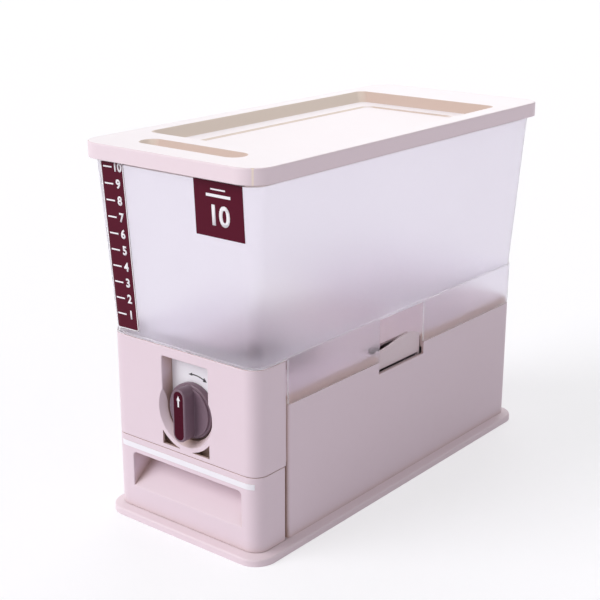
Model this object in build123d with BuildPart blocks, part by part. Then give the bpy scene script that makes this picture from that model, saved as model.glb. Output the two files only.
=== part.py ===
from build123d import *
from math import atan2, cos, pi, sin
import os

# A countertop rice dispenser: a frosted hopper with a lift-off lid stands on a lower body.
# A sprung knob on the front turns a metering drum that drops one portion into a drawer.
# Millimetres, +Z up, +X to the right seen from the front, the front faces -Y.
# The origin is on the floor under the middle of the body.

os.makedirs("parts", exist_ok=True)

# ---------------------------------------------------------------- driving dimensions
# Body as a whole
body_width = 182.0
body_length = 444.0
body_corner = 15.0
shell = 2.5
seam = 0.4
slide_gap = 0.3
edge_round = 0.7

# Base tray: the flange that the body stands on
flange_reach = 8.6
flange_corner = 22.0
flange_rim = 6.6
flange_round = 2.0
body_bottom = 9.0
tray_skin = 2.5
tray_lip = 2.4

# Lower casing
casing_front = 43.8
shoulder_top = 149.0
shoulder_round = 4.5
pilaster_round = 4.0
frame_width = 12.0
lintel_drop = 9.0
cavity_step = 6.0

# Upper front panel
panel_top = 186.0
panel_return = 40.0
tongue_wall = 1.8
tongue_overlap = 6.0
tongue_drop = 3.0

# Dial pocket in the front panel
dial_x = 4.4
dial_z = 126.0
pocket_width = 57.0
pocket_margin = 10.2
pocket_depth = 13.5
pocket_wall = 2.2
pocket_corner = 1.5
pocket_round = 1.2
cup_radius = 37.9
cup_mouth_radius = 33.6
cup_depth = 6.5
corner_window_margin = 1.0
corner_window_bottom = 88.4
corner_window_round = 0.3
corner_floor_depth = 8.0
corner_floor_margin = 8.0
card_height = 39.8
card_thickness = 0.4
card_margin = 0.5

# Knob
ring_radius = 26.8
ring_front = 6.4
face_radius = 24.4
face_front = 4.4
knob_back = 12.5
bar_front = -8.5
bar_length = 52.0
bar_width = 15.6
bar_round = 1.2
ring_round = 1.8
inlay_length = 48.0
inlay_width = 11.8
inlay_depth = 0.8
inlay_gap = 0.1

# Shaft, bushes and clip
shaft_radius = 4.0
shaft_front = -2.0
shaft_tail = 3.6
shaft_fit = 0.02
bush_fit = 0.05
bush_outer = 5.5
bush_flange = 7.5
bush_flange_thickness = 1.0
clip_radius = 7.0
clip_thickness = 0.8
clip_groove = 0.8
clip_mouth = 5.0

# Metering drum
drum_front = 40.0
drum_length = 102.0
drum_bore = 27.2
drum_wall = 2.4
rotor_gap = 0.4
rotor_wall = 2.2
rotor_disc = 2.4
rotor_hub = 7.0
inlet_width = 37.0
inlet_wall = 2.0
inlet_top = 157.5
chute_drop = 1.4
chute_wall = 2.2
foot_thickness = 2.5
foot_reach = 16.0
foot_rise = 8.0
ear_radius = 4.0
ear_angle = 22.0
ear_depth = 12.0
cap_thickness = 2.4
cap_boss = 9.0
cap_boss_length = 7.0

# Return spring on the shaft
spring_radius = 8.4
spring_wire = 0.6
spring_turns = 6
spring_pitch = 2.4
spring_leg = 7.0
collar_radius = 7.0
collar_length = 5.2
peg_radius = 1.5

# Inner deck over the drawer bay
deck_rise = 2.0
deck_thickness = 2.5
deck_length = 250.0
deck_side_gap = 0.3
deck_ledge = 4.5
ledge_thickness = 2.5
panel_ledge = 5.0

# Drawer
drawer_bottom = 9.4
drawer_top = 83.6
drawer_return = 38.7
scoop_x = 2.4
scoop_width = 138.0
scoop_bottom = 31.7
scoop_top = 67.4
scoop_depth = 34.0
scoop_floor_back = 59.0
scoop_wall = 2.2
scoop_corner = 4.0
scoop_round = 1.0
tub_side_gap = 2.5
tub_corner = 8.0
tub_wall = 2.0
tub_length = 154.0
tub_height = 66.0
tub_lip_gap = 2.8
tub_lip_inset = 14.5
runner_inset = 16.5
runner_width = 4.0
runner_height = 4.5
guide_gap = 0.5
guide_width = 2.0
guide_height = 11.0
runner_length = 190.0
drawer_travel = 138.0
stop_width = 30.0
stop_thickness = 2.5
stop_margin = 1.0
stop_overlap = 2.2
rear_stop_half = 31.0
strip_height = 5.5
strip_margin = 8.0
strip_z = 74.8

# Hand windows and the plates inside them
window_front = 184.6
window_length = 78.4
window_drop = 19.0
window_inset = 21.0
grip_inset = 4.8
grip_thickness = 2.0
grip_rise = 3.0
grip_wave = 5.0
grip_end_drop = 6.0
grip_foot = 9.0
grip_slot = 3.5
grip_slot_rise = 1.6
grip_leg = 4.0

# Hopper
hopper_wall = 2.0
hopper_inset = 1.2
hopper_flare = 8.3
hopper_corner = 15.0
floor_thickness = 1.8
skirt_overlap = 6.0
skirt_front = 44.7
skirt_wall = 2.0
skirt_gap = 0.4
rim_thickness = 2.2
mouth_front = 20.0
mouth_margin = 7.0
mouth_corner = 8.0
throat_rise = 2.5
throat_overlap = 3.5
throat_corner = 3.0
throat_gap = 0.5

# Lid
lid_top = 368.5
lid_height = 14.5
lid_rise = 6.5
lid_overhang = 16.0
lid_corner = 24.0
lid_wall = 2.2
lid_round = 1.4
lid_gap = 0.5
plug_gap = 1.2
plug_wall = 2.0
plug_height = 18.5
tray_border = 19.0
tray_front = 55.0
tray_rear_border = 52.0
tray_slope = 10.0
tray_depth = 10.0
tray_corner = 9.0
recess_skin = 2.4
recess_round = 1.0
ledge_width = 20.0
ledge_drop = 1.2
ledge_slope = 3.0
grip_recess_length = 122.0
grip_recess_width = 24.0
grip_recess_y = 22.5
grip_recess_depth = 7.0
grip_recess_floor = 12.0

# Stickers
scale_inset = 21.7
scale_width = 29.3
scale_bottom = 3.5
scale_drop = 8.9
scale_tilt = 1.3
label_inset = 34.0
label_width = 55.3
label_height = 49.3
label_drop = 10.7
sticker = 0.3
sticker_corner = 2.5

# Screws
screw_radius = 1.6
screw_head = 3.2
screw_head_height = 1.8
screw_length = 12.0
screw_slack = 0.2
pilot_fit = 0.05
pilot_spare = 2.0
boss_radius = 4.4
base_boss_height = 25.0
panel_screw_low = 100.0
panel_screw_high = 132.0
drawer_screw_low = 26.0
drawer_screw_high = 75.2
drawer_screw_inset = 14.5
front_boss_length = 14.0

# ---------------------------------------------------------------- derived places
front_y = -body_length / 2
body_half = body_width / 2
flange_width = body_width + 2 * flange_reach
flange_length = body_length + 2 * flange_reach
frame_opening = body_half - frame_width
frame_lintel = shoulder_top - lintel_drop
panel_bottom = drawer_top + seam
panel_ledge_inner = frame_opening - panel_ledge
tongue_top = shoulder_top - tongue_drop
pocket_top = panel_top - pocket_margin
skirt_bottom = shoulder_top - skirt_overlap
casing_step_z = skirt_bottom - seam
shoulder_inset = skirt_wall + skirt_gap
deck_bottom = panel_bottom + deck_rise
deck_top = deck_bottom + deck_thickness
chute_bottom = deck_bottom - chute_drop
inner_half = body_half - shell
boss_x = inner_half + 0.1 - boss_radius
drum_rear = drum_front + drum_length
drum_outer = drum_bore + drum_wall
rotor_radius = drum_bore - rotor_gap
rotor_front = drum_front + drum_wall + rotor_gap
rotor_rear = drum_rear - rotor_gap
inlet_half = inlet_width / 2
inlet_front = rotor_front + rotor_disc
inlet_rear = rotor_rear - rotor_disc
ear_ring = drum_outer + ear_radius - 0.3
ear_reach = ear_ring + ear_radius
throat_top = inlet_top + throat_rise
throat_bottom = inlet_top - throat_overlap
hopper_bottom = panel_top + slide_gap
floor_top = hopper_bottom + floor_thickness
hopper_top = lid_top - lid_rise
hopper_rise = hopper_top - floor_top
hopper_lean = atan2(hopper_inset + hopper_flare, hopper_rise)
window_rear = window_front + window_length
window_bottom = shoulder_top - window_drop
window_inner = body_half - window_inset
grip_face = body_half - grip_inset
grip_low = shoulder_top + grip_rise
grip_high = grip_low + grip_wave
grip_end = grip_high - grip_end_drop
runner_top = body_bottom + runner_height
tub_half_width = frame_opening - tub_side_gap
runner_x = tub_half_width - runner_inset
tub_bottom = runner_top + slide_gap
tub_top = tub_bottom + tub_height
tub_rear = drawer_return + tub_length
tub_lip_top = deck_bottom - tub_lip_gap
tub_lip_half_width = tub_half_width - tub_lip_inset
drawer_screw_x = tub_half_width - drawer_screw_inset
stop_inner = tub_lip_half_width - stop_width - stop_margin
stop_bottom = tub_lip_top - stop_overlap
strip_length = body_width - 2 * strip_margin
lid_width = body_width + 2 * lid_overhang
lid_length = body_length + 2 * lid_overhang
lid_bottom = lid_top - lid_height
lid_skin = lid_top - lid_wall
plug_bottom = lid_top - plug_height
tray_half_width = lid_width / 2 - tray_border
tray_rear = body_length - tray_rear_border
scale_x = scale_inset - body_half
scale_height = hopper_rise - scale_drop - scale_bottom
label_x = body_half - label_inset
label_middle = hopper_rise - label_drop - label_height / 2
mid_depth = body_length / 2


# ---------------------------------------------------------------- shared geometry
def at_height(z):
    """Level plane at a height above the floor."""
    return Plane.XY.offset(z)


def at_depth(depth):
    """Upright plane at a depth behind the body's front; its normal points to the front."""
    return Plane.XZ.offset(-(front_y + depth))


def block(low, high, mode=Mode.ADD):
    """Block between two corners, each given as x, depth behind the front, and height."""
    middle = [(a + b) / 2 for a, b in zip(low, high)]
    size = [b - a for a, b in zip(low, high)]
    with Locations((middle[0], front_y + middle[1], middle[2])):
        Box(*size, mode=mode)


def cylinder_at(x, z, radius, near, far, mode=Mode.ADD):
    """Round bar or hole along the depth, from the near depth to the far one."""
    with BuildSketch(at_depth(far)) as outline:
        with Locations((x, z)):
            Circle(radius)
    extrude(outline.sketch, amount=far - near, mode=mode)


def cone_at(x, z, near_radius, far_radius, near, far, mode=Mode.ADD):
    """Cone along the depth, whose radius changes from the near depth to the far one."""
    with Locations((x, front_y + far, z)):
        Cone(
            far_radius, near_radius, far - near, rotation=(90, 0, 0),
            align=(Align.CENTER, Align.CENTER, Align.MIN), mode=mode,
        )


def post_at(x, depth, radius, low, high, mode=Mode.ADD):
    """Upright round post or hole between two heights."""
    with BuildSketch(at_height(low)) as outline:
        with Locations((x, front_y + depth)):
            Circle(radius)
    extrude(outline.sketch, amount=high - low, mode=mode)


def front_wrap(inset, wall, return_depth):
    """U-shaped outline of a moulding that wraps the front and both front corners."""
    RectangleRounded(
        body_width - 2 * inset, body_length - 2 * inset, body_corner - inset
    )
    gone = inset + wall
    RectangleRounded(
        body_width - 2 * gone,
        body_length - 2 * gone,
        body_corner - gone,
        mode=Mode.SUBTRACT,
    )
    with Locations((0, return_depth)):
        Rectangle(2 * body_width, body_length, mode=Mode.SUBTRACT)


def add_screw(seat):
    """Pan-head screw: the head stands on the seat plane and the shank goes down from it."""
    with BuildSketch(seat) as head:
        Circle(screw_head)
    extrude(head.sketch, amount=screw_head_height)
    with BuildSketch(seat) as shank:
        Circle(screw_radius)
    extrude(shank.sketch, amount=-screw_length)
    with BuildSketch(seat.offset(screw_head_height)) as cross:
        Rectangle(screw_head, screw_head / 4)
        Rectangle(screw_head / 4, screw_head)
    extrude(cross.sketch, amount=-screw_head_height / 2, mode=Mode.SUBTRACT)


# ---------------------------------------------------------------- base tray
base_screw_depths = (casing_front + 14, mid_depth, body_length - 16)
base_screw_spots = [(side * boss_x, depth) for side in (-1, 1) for depth in base_screw_depths]
tray_floor = body_bottom - tray_skin
runner_start = casing_front + shell + 1
guide_inner = tub_half_width + guide_gap

with BuildPart() as base_tray:
    with BuildSketch(at_height(0)):
        RectangleRounded(flange_width, flange_length, flange_corner)
    extrude(amount=flange_rim)
    with BuildSketch(at_height(flange_rim)):
        RectangleRounded(flange_width, flange_length, flange_corner)
    with BuildSketch(at_height(body_bottom)):
        RectangleRounded(body_width, body_length, body_corner)
    loft(ruled=True)
    rim_edges = base_tray.edges().filter_by_position(Axis.Z, flange_rim, flange_rim)
    fillet(rim_edges, radius=flange_round)
    with BuildSketch(at_height(0)):
        RectangleRounded(
            flange_width - 2 * tray_lip, flange_length - 2 * tray_lip, flange_corner - tray_lip
        )
    extrude(amount=flange_rim - tray_skin, mode=Mode.SUBTRACT)
    with BuildSketch(at_height(0)):
        RectangleRounded(body_width, body_length, body_corner)
    extrude(amount=tray_floor, mode=Mode.SUBTRACT)
    for side in (-1, 1):
        runner = side * runner_x
        block(
            (runner - runner_width / 2, runner_start, body_bottom),
            (runner + runner_width / 2, runner_start + runner_length, runner_top),
        )
        guide = side * (guide_inner + guide_width / 2)
        block(
            (guide - guide_width / 2, runner_start, body_bottom),
            (guide + guide_width / 2, runner_start + runner_length, body_bottom + guide_height),
        )
    # rear stop that the drawer's tub comes to rest against
    block(
        (-rear_stop_half, tub_rear + slide_gap, body_bottom),
        (rear_stop_half, tub_rear + slide_gap + stop_thickness, body_bottom + guide_height),
    )
    for x, depth in base_screw_spots:
        post_at(x, depth, screw_radius + screw_slack, 0, body_bottom, mode=Mode.SUBTRACT)
base_tray.part.label = "base_tray"
export_step(base_tray.part, "parts/base_tray.step")

# ---------------------------------------------------------------- lower casing
cavity_low_top = casing_step_z - cavity_step
cavity_inset = shoulder_inset + shell
cavity_top = shoulder_top - shell
drum_cut = ear_reach + 2
panel_screw_spots = [
    (side * boss_x, z) for side in (-1, 1) for z in (panel_screw_low, panel_screw_high)
]

with BuildPart() as base_casing:
    with BuildSketch(at_height(body_bottom)):
        RectangleRounded(body_width, body_length, body_corner)
    extrude(amount=casing_step_z - body_bottom)
    with BuildSketch(at_height(casing_step_z)):
        RectangleRounded(
            body_width - 2 * shoulder_inset,
            body_length - 2 * shoulder_inset,
            body_corner - shoulder_inset,
        )
    extrude(amount=shoulder_top - casing_step_z)
    shoulder_edges = base_casing.edges().filter_by_position(Axis.Z, shoulder_top, shoulder_top)
    fillet(shoulder_edges, radius=shoulder_round)
    # the front block and the drawer take the place of everything before the casing's frame
    block((-body_width, -1, 0), (body_width, casing_front, shoulder_top + 1), Mode.SUBTRACT)
    pilasters = (
        base_casing.edges()
        .filter_by(Axis.Z)
        .filter_by_position(Axis.Y, front_y + casing_front, front_y + casing_front)
        .filter_by_position(Axis.Z, body_bottom, casing_step_z)
    )
    fillet(pilasters, radius=pilaster_round)
    cavity_front = casing_front + shell
    with BuildSketch(at_height(body_bottom)) as cavity:
        RectangleRounded(body_width - 2 * shell, body_length - 2 * shell, body_corner - shell)
        with Locations((0, -body_length + cavity_front)):
            Rectangle(body_width, body_length, mode=Mode.SUBTRACT)
    extrude(amount=cavity_low_top - body_bottom, mode=Mode.SUBTRACT)
    with BuildSketch(at_height(body_bottom)):
        RectangleRounded(
            body_width - 2 * cavity_inset,
            body_length - 2 * cavity_inset,
            body_corner - cavity_inset,
        )
        with Locations((0, -body_length + cavity_front)):
            Rectangle(body_width, body_length, mode=Mode.SUBTRACT)
    extrude(amount=cavity_top - body_bottom, mode=Mode.SUBTRACT)
    # frame opening for the drawer and the deck, and the cut-out over the metering drum
    block(
        (-frame_opening, 0, 0), (frame_opening, cavity_front + 1, frame_lintel), Mode.SUBTRACT
    )
    block(
        (dial_x - drum_cut, 0, body_bottom),
        (dial_x + drum_cut, drum_rear + ear_radius, shoulder_top + 1),
        Mode.SUBTRACT,
    )
    for side in (-1, 1):
        near = side * window_inner
        far = side * body_width
        block(
            (min(near, far), window_front, window_bottom),
            (max(near, far), window_rear, shoulder_top + 1),
            Mode.SUBTRACT,
        )
        # ledge that carries the inner deck
        near = side * (inner_half - deck_ledge)
        far = side * (inner_half + shell / 2)
        block(
            (min(near, far), cavity_front + 2, deck_bottom - ledge_thickness),
            (max(near, far), deck_length, deck_bottom),
        )
    for x, depth in base_screw_spots:
        post_at(x, depth, boss_radius, body_bottom, body_bottom + base_boss_height)
        pilot_top = tray_floor + screw_length + pilot_spare
        post_at(x, depth, screw_radius + pilot_fit, body_bottom, pilot_top, Mode.SUBTRACT)
    for x, z in panel_screw_spots:
        cylinder_at(
            x, z, screw_radius + screw_slack, casing_front - 1, cavity_front + 1, Mode.SUBTRACT
        )
base_casing.part.label = "base_casing"
export_step(base_casing.part, "parts/base_casing.step")

with BuildPart() as base_screws:
    for x, depth in base_screw_spots:
        add_screw(Plane(origin=(x, front_y + depth, tray_floor), z_dir=(0, 0, -1)))
base_screws.part.label = "base_screws"
export_step(base_screws.part, "parts/base_screws.step")


# ---------------------------------------------------------------- upper front panel
def pocket_outline(grow):
    """Outline of the dial pocket, round below and square above, grown by a wall."""
    radius = pocket_width / 2 + grow
    rise = pocket_top + grow - dial_z
    with Locations((dial_x, dial_z + rise / 2)):
        Rectangle(2 * radius, rise)
    with Locations((dial_x, dial_z)):
        Circle(radius)


with BuildPart() as front_panel:
    with BuildSketch(at_height(panel_bottom)):
        front_wrap(0, shell, panel_return)
    extrude(amount=panel_top - panel_bottom)
    top_edges = front_panel.edges().filter_by_position(Axis.Z, panel_top, panel_top)
    bottom_edges = front_panel.edges().filter_by_position(Axis.Z, panel_bottom, panel_bottom)
    fillet(top_edges + bottom_edges, radius=edge_round)
    # tongue that closes the gap to the casing's frame
    tongue_bottom = panel_bottom + shell
    with BuildSketch(at_height(tongue_bottom)):
        front_wrap(shell, tongue_wall, casing_front)
        with Locations((0, front_y)):
            Rectangle(body_width, 2 * (panel_return - tongue_overlap), mode=Mode.SUBTRACT)
    extrude(amount=tongue_top - tongue_bottom)
    for x, z in panel_screw_spots:
        cylinder_at(x, z, boss_radius, casing_front - front_boss_length, casing_front)
        pilot_near = casing_front + shell - screw_length - pilot_spare
        cylinder_at(x, z, screw_radius + pilot_fit, pilot_near, casing_front, Mode.SUBTRACT)
    for side in (-1, 1):
        near = side * panel_ledge_inner
        far = side * (inner_half + shell / 2)
        block(
            (min(near, far), body_corner + 1, panel_bottom + seam),
            (max(near, far), panel_return - 1, deck_bottom),
        )
    # dial pocket, whose lower half opens into a round cup, and the floor of its corner windows
    with BuildSketch(at_depth(shell / 2)):
        pocket_outline(pocket_wall)
    extrude(amount=-(pocket_depth + shell / 2))
    pocket_radius = pocket_width / 2
    cone_at(
        dial_x, dial_z, cup_radius, pocket_radius + pocket_wall, shell / 2, cup_depth + pocket_wall
    )
    corner_floor_half = pocket_radius + corner_floor_margin
    block(
        (dial_x - corner_floor_half, corner_floor_depth, panel_bottom + seam),
        (dial_x + corner_floor_half, corner_floor_depth + tongue_wall, dial_z - pocket_radius / 2),
    )
    with BuildSketch(at_depth(pocket_depth)) as pocket:
        pocket_outline(0)
        fillet(pocket.vertices().group_by(Axis.Y)[-1], radius=pocket_corner)
    extrude(amount=pocket_depth + 1, mode=Mode.SUBTRACT)
    mouth_wires = front_panel.faces().sort_by(Axis.Y)[0].inner_wires()
    fillet(mouth_wires.sort_by(SortBy.LENGTH)[-1].edges(), radius=pocket_round)
    cone_at(dial_x, dial_z, cup_mouth_radius, pocket_radius, 0, cup_depth, Mode.SUBTRACT)
    # the two corner windows beside the knob's cup
    window_height = dial_z - corner_window_bottom
    with BuildSketch(at_depth(shell + 0.5)) as corner_windows:
        with Locations((dial_x, dial_z - window_height / 2)):
            Rectangle(pocket_width + 2 * corner_window_margin, window_height)
        with Locations((dial_x, dial_z)):
            Circle(cup_radius, mode=Mode.SUBTRACT)
        fillet(corner_windows.vertices(), radius=corner_window_round)
    extrude(amount=shell + 1, mode=Mode.SUBTRACT)
    cylinder_at(
        dial_x, dial_z, bush_outer + bush_fit, pocket_depth - 1, pocket_depth + shell + 1,
        Mode.SUBTRACT,
    )
front_panel.part.label = "front_panel"
export_step(front_panel.part, "parts/front_panel.step")

with BuildPart() as panel_screws:
    for x, z in panel_screw_spots:
        spot = Plane(origin=(x, front_y + cavity_front, z), z_dir=(0, 1, 0))
        add_screw(spot)
panel_screws.part.label = "panel_screws"
export_step(panel_screws.part, "parts/panel_screws.step")

with BuildPart() as dial_card:
    card_top = pocket_top - card_margin
    with BuildSketch(at_depth(pocket_depth)):
        with Locations((dial_x, card_top - card_height / 2)):
            RectangleRounded(pocket_width - 2 * card_margin, card_height, pocket_corner)
    extrude(amount=card_thickness)
dial_card.part.label = "dial_card"
export_step(dial_card.part, "parts/dial_card.step")

# ---------------------------------------------------------------- knob
inlay_back = bar_front + inlay_depth
screw_seat = shaft_front - shell

with BuildPart() as knob:
    cylinder_at(dial_x, dial_z, ring_radius, ring_front, knob_back)
    ring_edge = knob.faces().sort_by(Axis.Y)[0].edges()
    fillet(ring_edge, radius=ring_round)
    cylinder_at(dial_x, dial_z, face_radius, face_front, knob_back)
    face_edge = knob.faces().sort_by(Axis.Y)[0].edges()
    fillet(face_edge, radius=ring_round / 2)
    with BuildSketch(at_depth(knob_back)):
        with Locations((dial_x, dial_z)):
            SlotOverall(bar_length, bar_width, rotation=90)
    extrude(amount=knob_back - bar_front)
    bar_edges = knob.faces().sort_by(Axis.Y)[0].edges()
    fillet(bar_edges, radius=bar_round)
    with BuildSketch(at_depth(inlay_back)):
        with Locations((dial_x, dial_z)):
            SlotOverall(inlay_length, inlay_width, rotation=90)
    extrude(amount=inlay_depth + 1, mode=Mode.SUBTRACT)
    head_hole = screw_head + screw_slack
    cylinder_at(dial_x, dial_z, head_hole, inlay_back - 1, screw_seat, Mode.SUBTRACT)
    cylinder_at(
        dial_x, dial_z, screw_radius + screw_slack, screw_seat - 1, shaft_front, Mode.SUBTRACT
    )
    cylinder_at(
        dial_x, dial_z, shaft_radius + shaft_fit, shaft_front, knob_back + 1, Mode.SUBTRACT
    )
knob.part.label = "knob"
export_step(knob.part, "parts/knob.step")

with BuildPart() as knob_inlay:
    with BuildSketch(at_depth(inlay_back)):
        with Locations((dial_x, dial_z)):
            SlotOverall(
                inlay_length - 2 * inlay_gap, inlay_width - 2 * inlay_gap, rotation=90
            )
    extrude(amount=inlay_depth)
knob_inlay.part.label = "knob_inlay"
export_step(knob_inlay.part, "parts/knob_inlay.step")

with BuildPart() as knob_screw:
    add_screw(Plane(origin=(dial_x, front_y + screw_seat, dial_z), z_dir=(0, -1, 0)))
knob_screw.part.label = "knob_screw"
export_step(knob_screw.part, "parts/knob_screw.step")

# ---------------------------------------------------------------- shaft and what runs on it
cap_rear = drum_rear + cap_thickness + cap_boss_length
shaft_rear = cap_rear + shaft_tail
clip_front = cap_rear + bush_flange_thickness + slide_gap
groove_radius = shaft_radius - clip_groove
panel_back = pocket_depth + shell
collar_front = panel_back + bush_flange_thickness + slide_gap

with BuildPart() as drive_shaft:
    cylinder_at(dial_x, dial_z, shaft_radius, shaft_front, shaft_rear)
    pilot_end = screw_seat + screw_length + pilot_spare
    cylinder_at(dial_x, dial_z, screw_radius + pilot_fit, shaft_front, pilot_end, Mode.SUBTRACT)
    with BuildSketch(at_depth(clip_front + clip_thickness + slide_gap / 2)):
        with Locations((dial_x, dial_z)):
            Circle(shaft_radius + 1)
            Circle(groove_radius, mode=Mode.SUBTRACT)
    extrude(amount=clip_thickness + slide_gap, mode=Mode.SUBTRACT)
drive_shaft.part.label = "drive_shaft"
export_step(drive_shaft.part, "parts/drive_shaft.step")

with BuildPart() as front_bush:
    cylinder_at(dial_x, dial_z, bush_outer, pocket_depth + shaft_fit, panel_back)
    cylinder_at(
        dial_x, dial_z, bush_flange, panel_back, panel_back + bush_flange_thickness
    )
    cylinder_at(
        dial_x, dial_z, shaft_radius + bush_fit, pocket_depth - 1, panel_back + 2, Mode.SUBTRACT
    )
front_bush.part.label = "front_bush"
export_step(front_bush.part, "parts/front_bush.step")

with BuildPart() as rear_bush:
    cylinder_at(dial_x, dial_z, bush_outer, drum_rear, cap_rear)
    cylinder_at(dial_x, dial_z, bush_flange, cap_rear, cap_rear + bush_flange_thickness)
    cylinder_at(
        dial_x, dial_z, shaft_radius + bush_fit, drum_rear - 1, cap_rear + 2, Mode.SUBTRACT
    )
rear_bush.part.label = "rear_bush"
export_step(rear_bush.part, "parts/rear_bush.step")

with BuildPart() as shaft_clip:
    cylinder_at(dial_x, dial_z, clip_radius, clip_front, clip_front + clip_thickness)
    cylinder_at(
        dial_x, dial_z, groove_radius + shaft_fit, clip_front - 1, clip_front + 2, Mode.SUBTRACT
    )
    block(
        (dial_x - clip_mouth / 2, clip_front - 1, dial_z - clip_radius - 1),
        (dial_x + clip_mouth / 2, clip_front + 2, dial_z),
        Mode.SUBTRACT,
    )
shaft_clip.part.label = "shaft_clip"
export_step(shaft_clip.part, "parts/shaft_clip.step")

# ---------------------------------------------------------------- return spring
# The coil lies against the drum housing's front wall; its front leg leans on a peg of the
# collar, which turns with the shaft, and its rear leg on a peg of the housing.
spring_rear = drum_front - slide_gap - spring_wire
spring_front = spring_rear - spring_turns * spring_pitch
quarter_turns = 4 * spring_turns
collar_rear = collar_front + collar_length


def coil_point(quarter):
    """Place on the spring's centre line after a number of quarter turns from the rear."""
    angle = quarter * pi / 2
    return Vector(
        dial_x + spring_radius * cos(angle),
        front_y + spring_rear - quarter * spring_pitch / 4,
        dial_z + spring_radius * sin(angle),
    )


with BuildPart() as return_spring:
    with BuildLine() as coil:
        rear_heading = Vector(0, -spring_pitch / (2 * pi * spring_radius), 1).normalized()
        rear_tip = coil_point(0) - rear_heading * spring_leg
        Line(rear_tip, coil_point(0))
        heading = rear_heading
        for quarter in range(quarter_turns):
            arc = TangentArc(coil_point(quarter), coil_point(quarter + 1), tangent=heading)
            heading = arc % 1
        front_tip = coil_point(quarter_turns) + heading * spring_leg
        Line(coil_point(quarter_turns), front_tip)
    with BuildSketch(Plane(origin=rear_tip, z_dir=rear_heading)):
        Circle(spring_wire)
    sweep(path=coil.wire())
return_spring.part.label = "return_spring"
export_step(return_spring.part, "parts/return_spring.step")
coil_gap = spring_pitch - 2 * spring_wire
print("return spring: gap between turns", round(coil_gap, 2), "mm")

peg_x = dial_x + spring_radius + spring_wire + slide_gap + peg_radius

with BuildPart() as spring_collar:
    cylinder_at(dial_x, dial_z, collar_radius, collar_front, collar_rear)
    # arm and peg that take the spring's front leg
    block(
        (dial_x, collar_front, dial_z - peg_radius),
        (peg_x + peg_radius, collar_rear - 1, dial_z + spring_leg),
    )
    cylinder_at(peg_x, dial_z + spring_leg - peg_radius, peg_radius, collar_front, spring_front + 2)
    cylinder_at(
        dial_x, dial_z, shaft_radius + shaft_fit, collar_front - 1, collar_rear + 1, Mode.SUBTRACT
    )
spring_collar.part.label = "spring_collar"
export_step(spring_collar.part, "parts/spring_collar.step")

# ---------------------------------------------------------------- metering drum housing
chute_half = inlet_half
foot_half = chute_half + foot_reach
foot_screw_x = foot_half - boss_radius
foot_depths = (drum_front + boss_radius + 4, drum_rear - boss_radius)
foot_spots = [(dial_x + s * foot_screw_x, depth) for s in (-1, 1) for depth in foot_depths]
cap_angles = (ear_angle, -ear_angle, 180 - ear_angle, 180 + ear_angle)
cap_spots = [
    (dial_x + ear_ring * cos(angle * pi / 180), dial_z + ear_ring * sin(angle * pi / 180))
    for angle in cap_angles
]
foot_front = casing_front + shell + 1
foot_bottom = deck_top + foot_rise
foot_top = foot_bottom + foot_thickness

with BuildPart() as rotor_housing:
    cylinder_at(dial_x, dial_z, drum_outer, drum_front, drum_rear)
    for x, z in cap_spots:
        cylinder_at(x, z, ear_radius, drum_rear - ear_depth, drum_rear)
    block(
        (dial_x - inlet_half - inlet_wall, inlet_front - inlet_wall, dial_z),
        (dial_x + inlet_half + inlet_wall, inlet_rear + inlet_wall, inlet_top),
    )
    block(
        (dial_x - chute_half - chute_wall, inlet_front - chute_wall, chute_bottom),
        (dial_x + chute_half + chute_wall, inlet_rear + chute_wall, dial_z),
    )
    block(
        (dial_x - foot_half, foot_front, foot_bottom),
        (dial_x + foot_half, drum_rear, foot_top),
    )
    cylinder_at(dial_x, dial_z, drum_bore, drum_front + drum_wall, drum_rear + 1, Mode.SUBTRACT)
    block(
        (dial_x - inlet_half, inlet_front, dial_z),
        (dial_x + inlet_half, inlet_rear, inlet_top + 1),
        Mode.SUBTRACT,
    )
    block(
        (dial_x - chute_half, inlet_front, chute_bottom - 1),
        (dial_x + chute_half, inlet_rear, dial_z),
        Mode.SUBTRACT,
    )
    cylinder_at(
        dial_x, dial_z, shaft_radius + slide_gap, drum_front - 1, drum_front + drum_wall + 1,
        Mode.SUBTRACT,
    )
    cylinder_at(peg_x, dial_z - spring_leg + peg_radius, peg_radius, spring_rear - 2, drum_front + 1)
    for x, depth in foot_spots:
        post_at(x, depth, screw_radius + screw_slack, foot_bottom - 1, foot_top + 1, Mode.SUBTRACT)
    for x, z in cap_spots:
        pilot_near = drum_rear + cap_thickness - screw_length
        cylinder_at(x, z, screw_radius + pilot_fit, pilot_near - 1, drum_rear + 1, Mode.SUBTRACT)
rotor_housing.part.label = "rotor_housing"
export_step(rotor_housing.part, "parts/rotor_housing.step")

with BuildPart() as rotor_cap:
    cap_face = drum_rear + cap_thickness
    cylinder_at(dial_x, dial_z, drum_outer, drum_rear, cap_face)
    for x, z in cap_spots:
        cylinder_at(x, z, ear_radius, drum_rear, cap_face)
    cylinder_at(dial_x, dial_z, cap_boss, drum_rear, cap_rear)
    cylinder_at(
        dial_x, dial_z, bush_outer + bush_fit, drum_rear - 1, cap_rear + 1, Mode.SUBTRACT
    )
    for x, z in cap_spots:
        cylinder_at(x, z, screw_radius + screw_slack, drum_rear - 1, cap_face + 1, Mode.SUBTRACT)
rotor_cap.part.label = "rotor_cap"
export_step(rotor_cap.part, "parts/rotor_cap.step")

with BuildPart() as cap_screws:
    for x, z in cap_spots:
        add_screw(Plane(origin=(x, front_y + cap_face, z), z_dir=(0, 1, 0)))
cap_screws.part.label = "cap_screws"
export_step(cap_screws.part, "parts/cap_screws.step")

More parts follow.
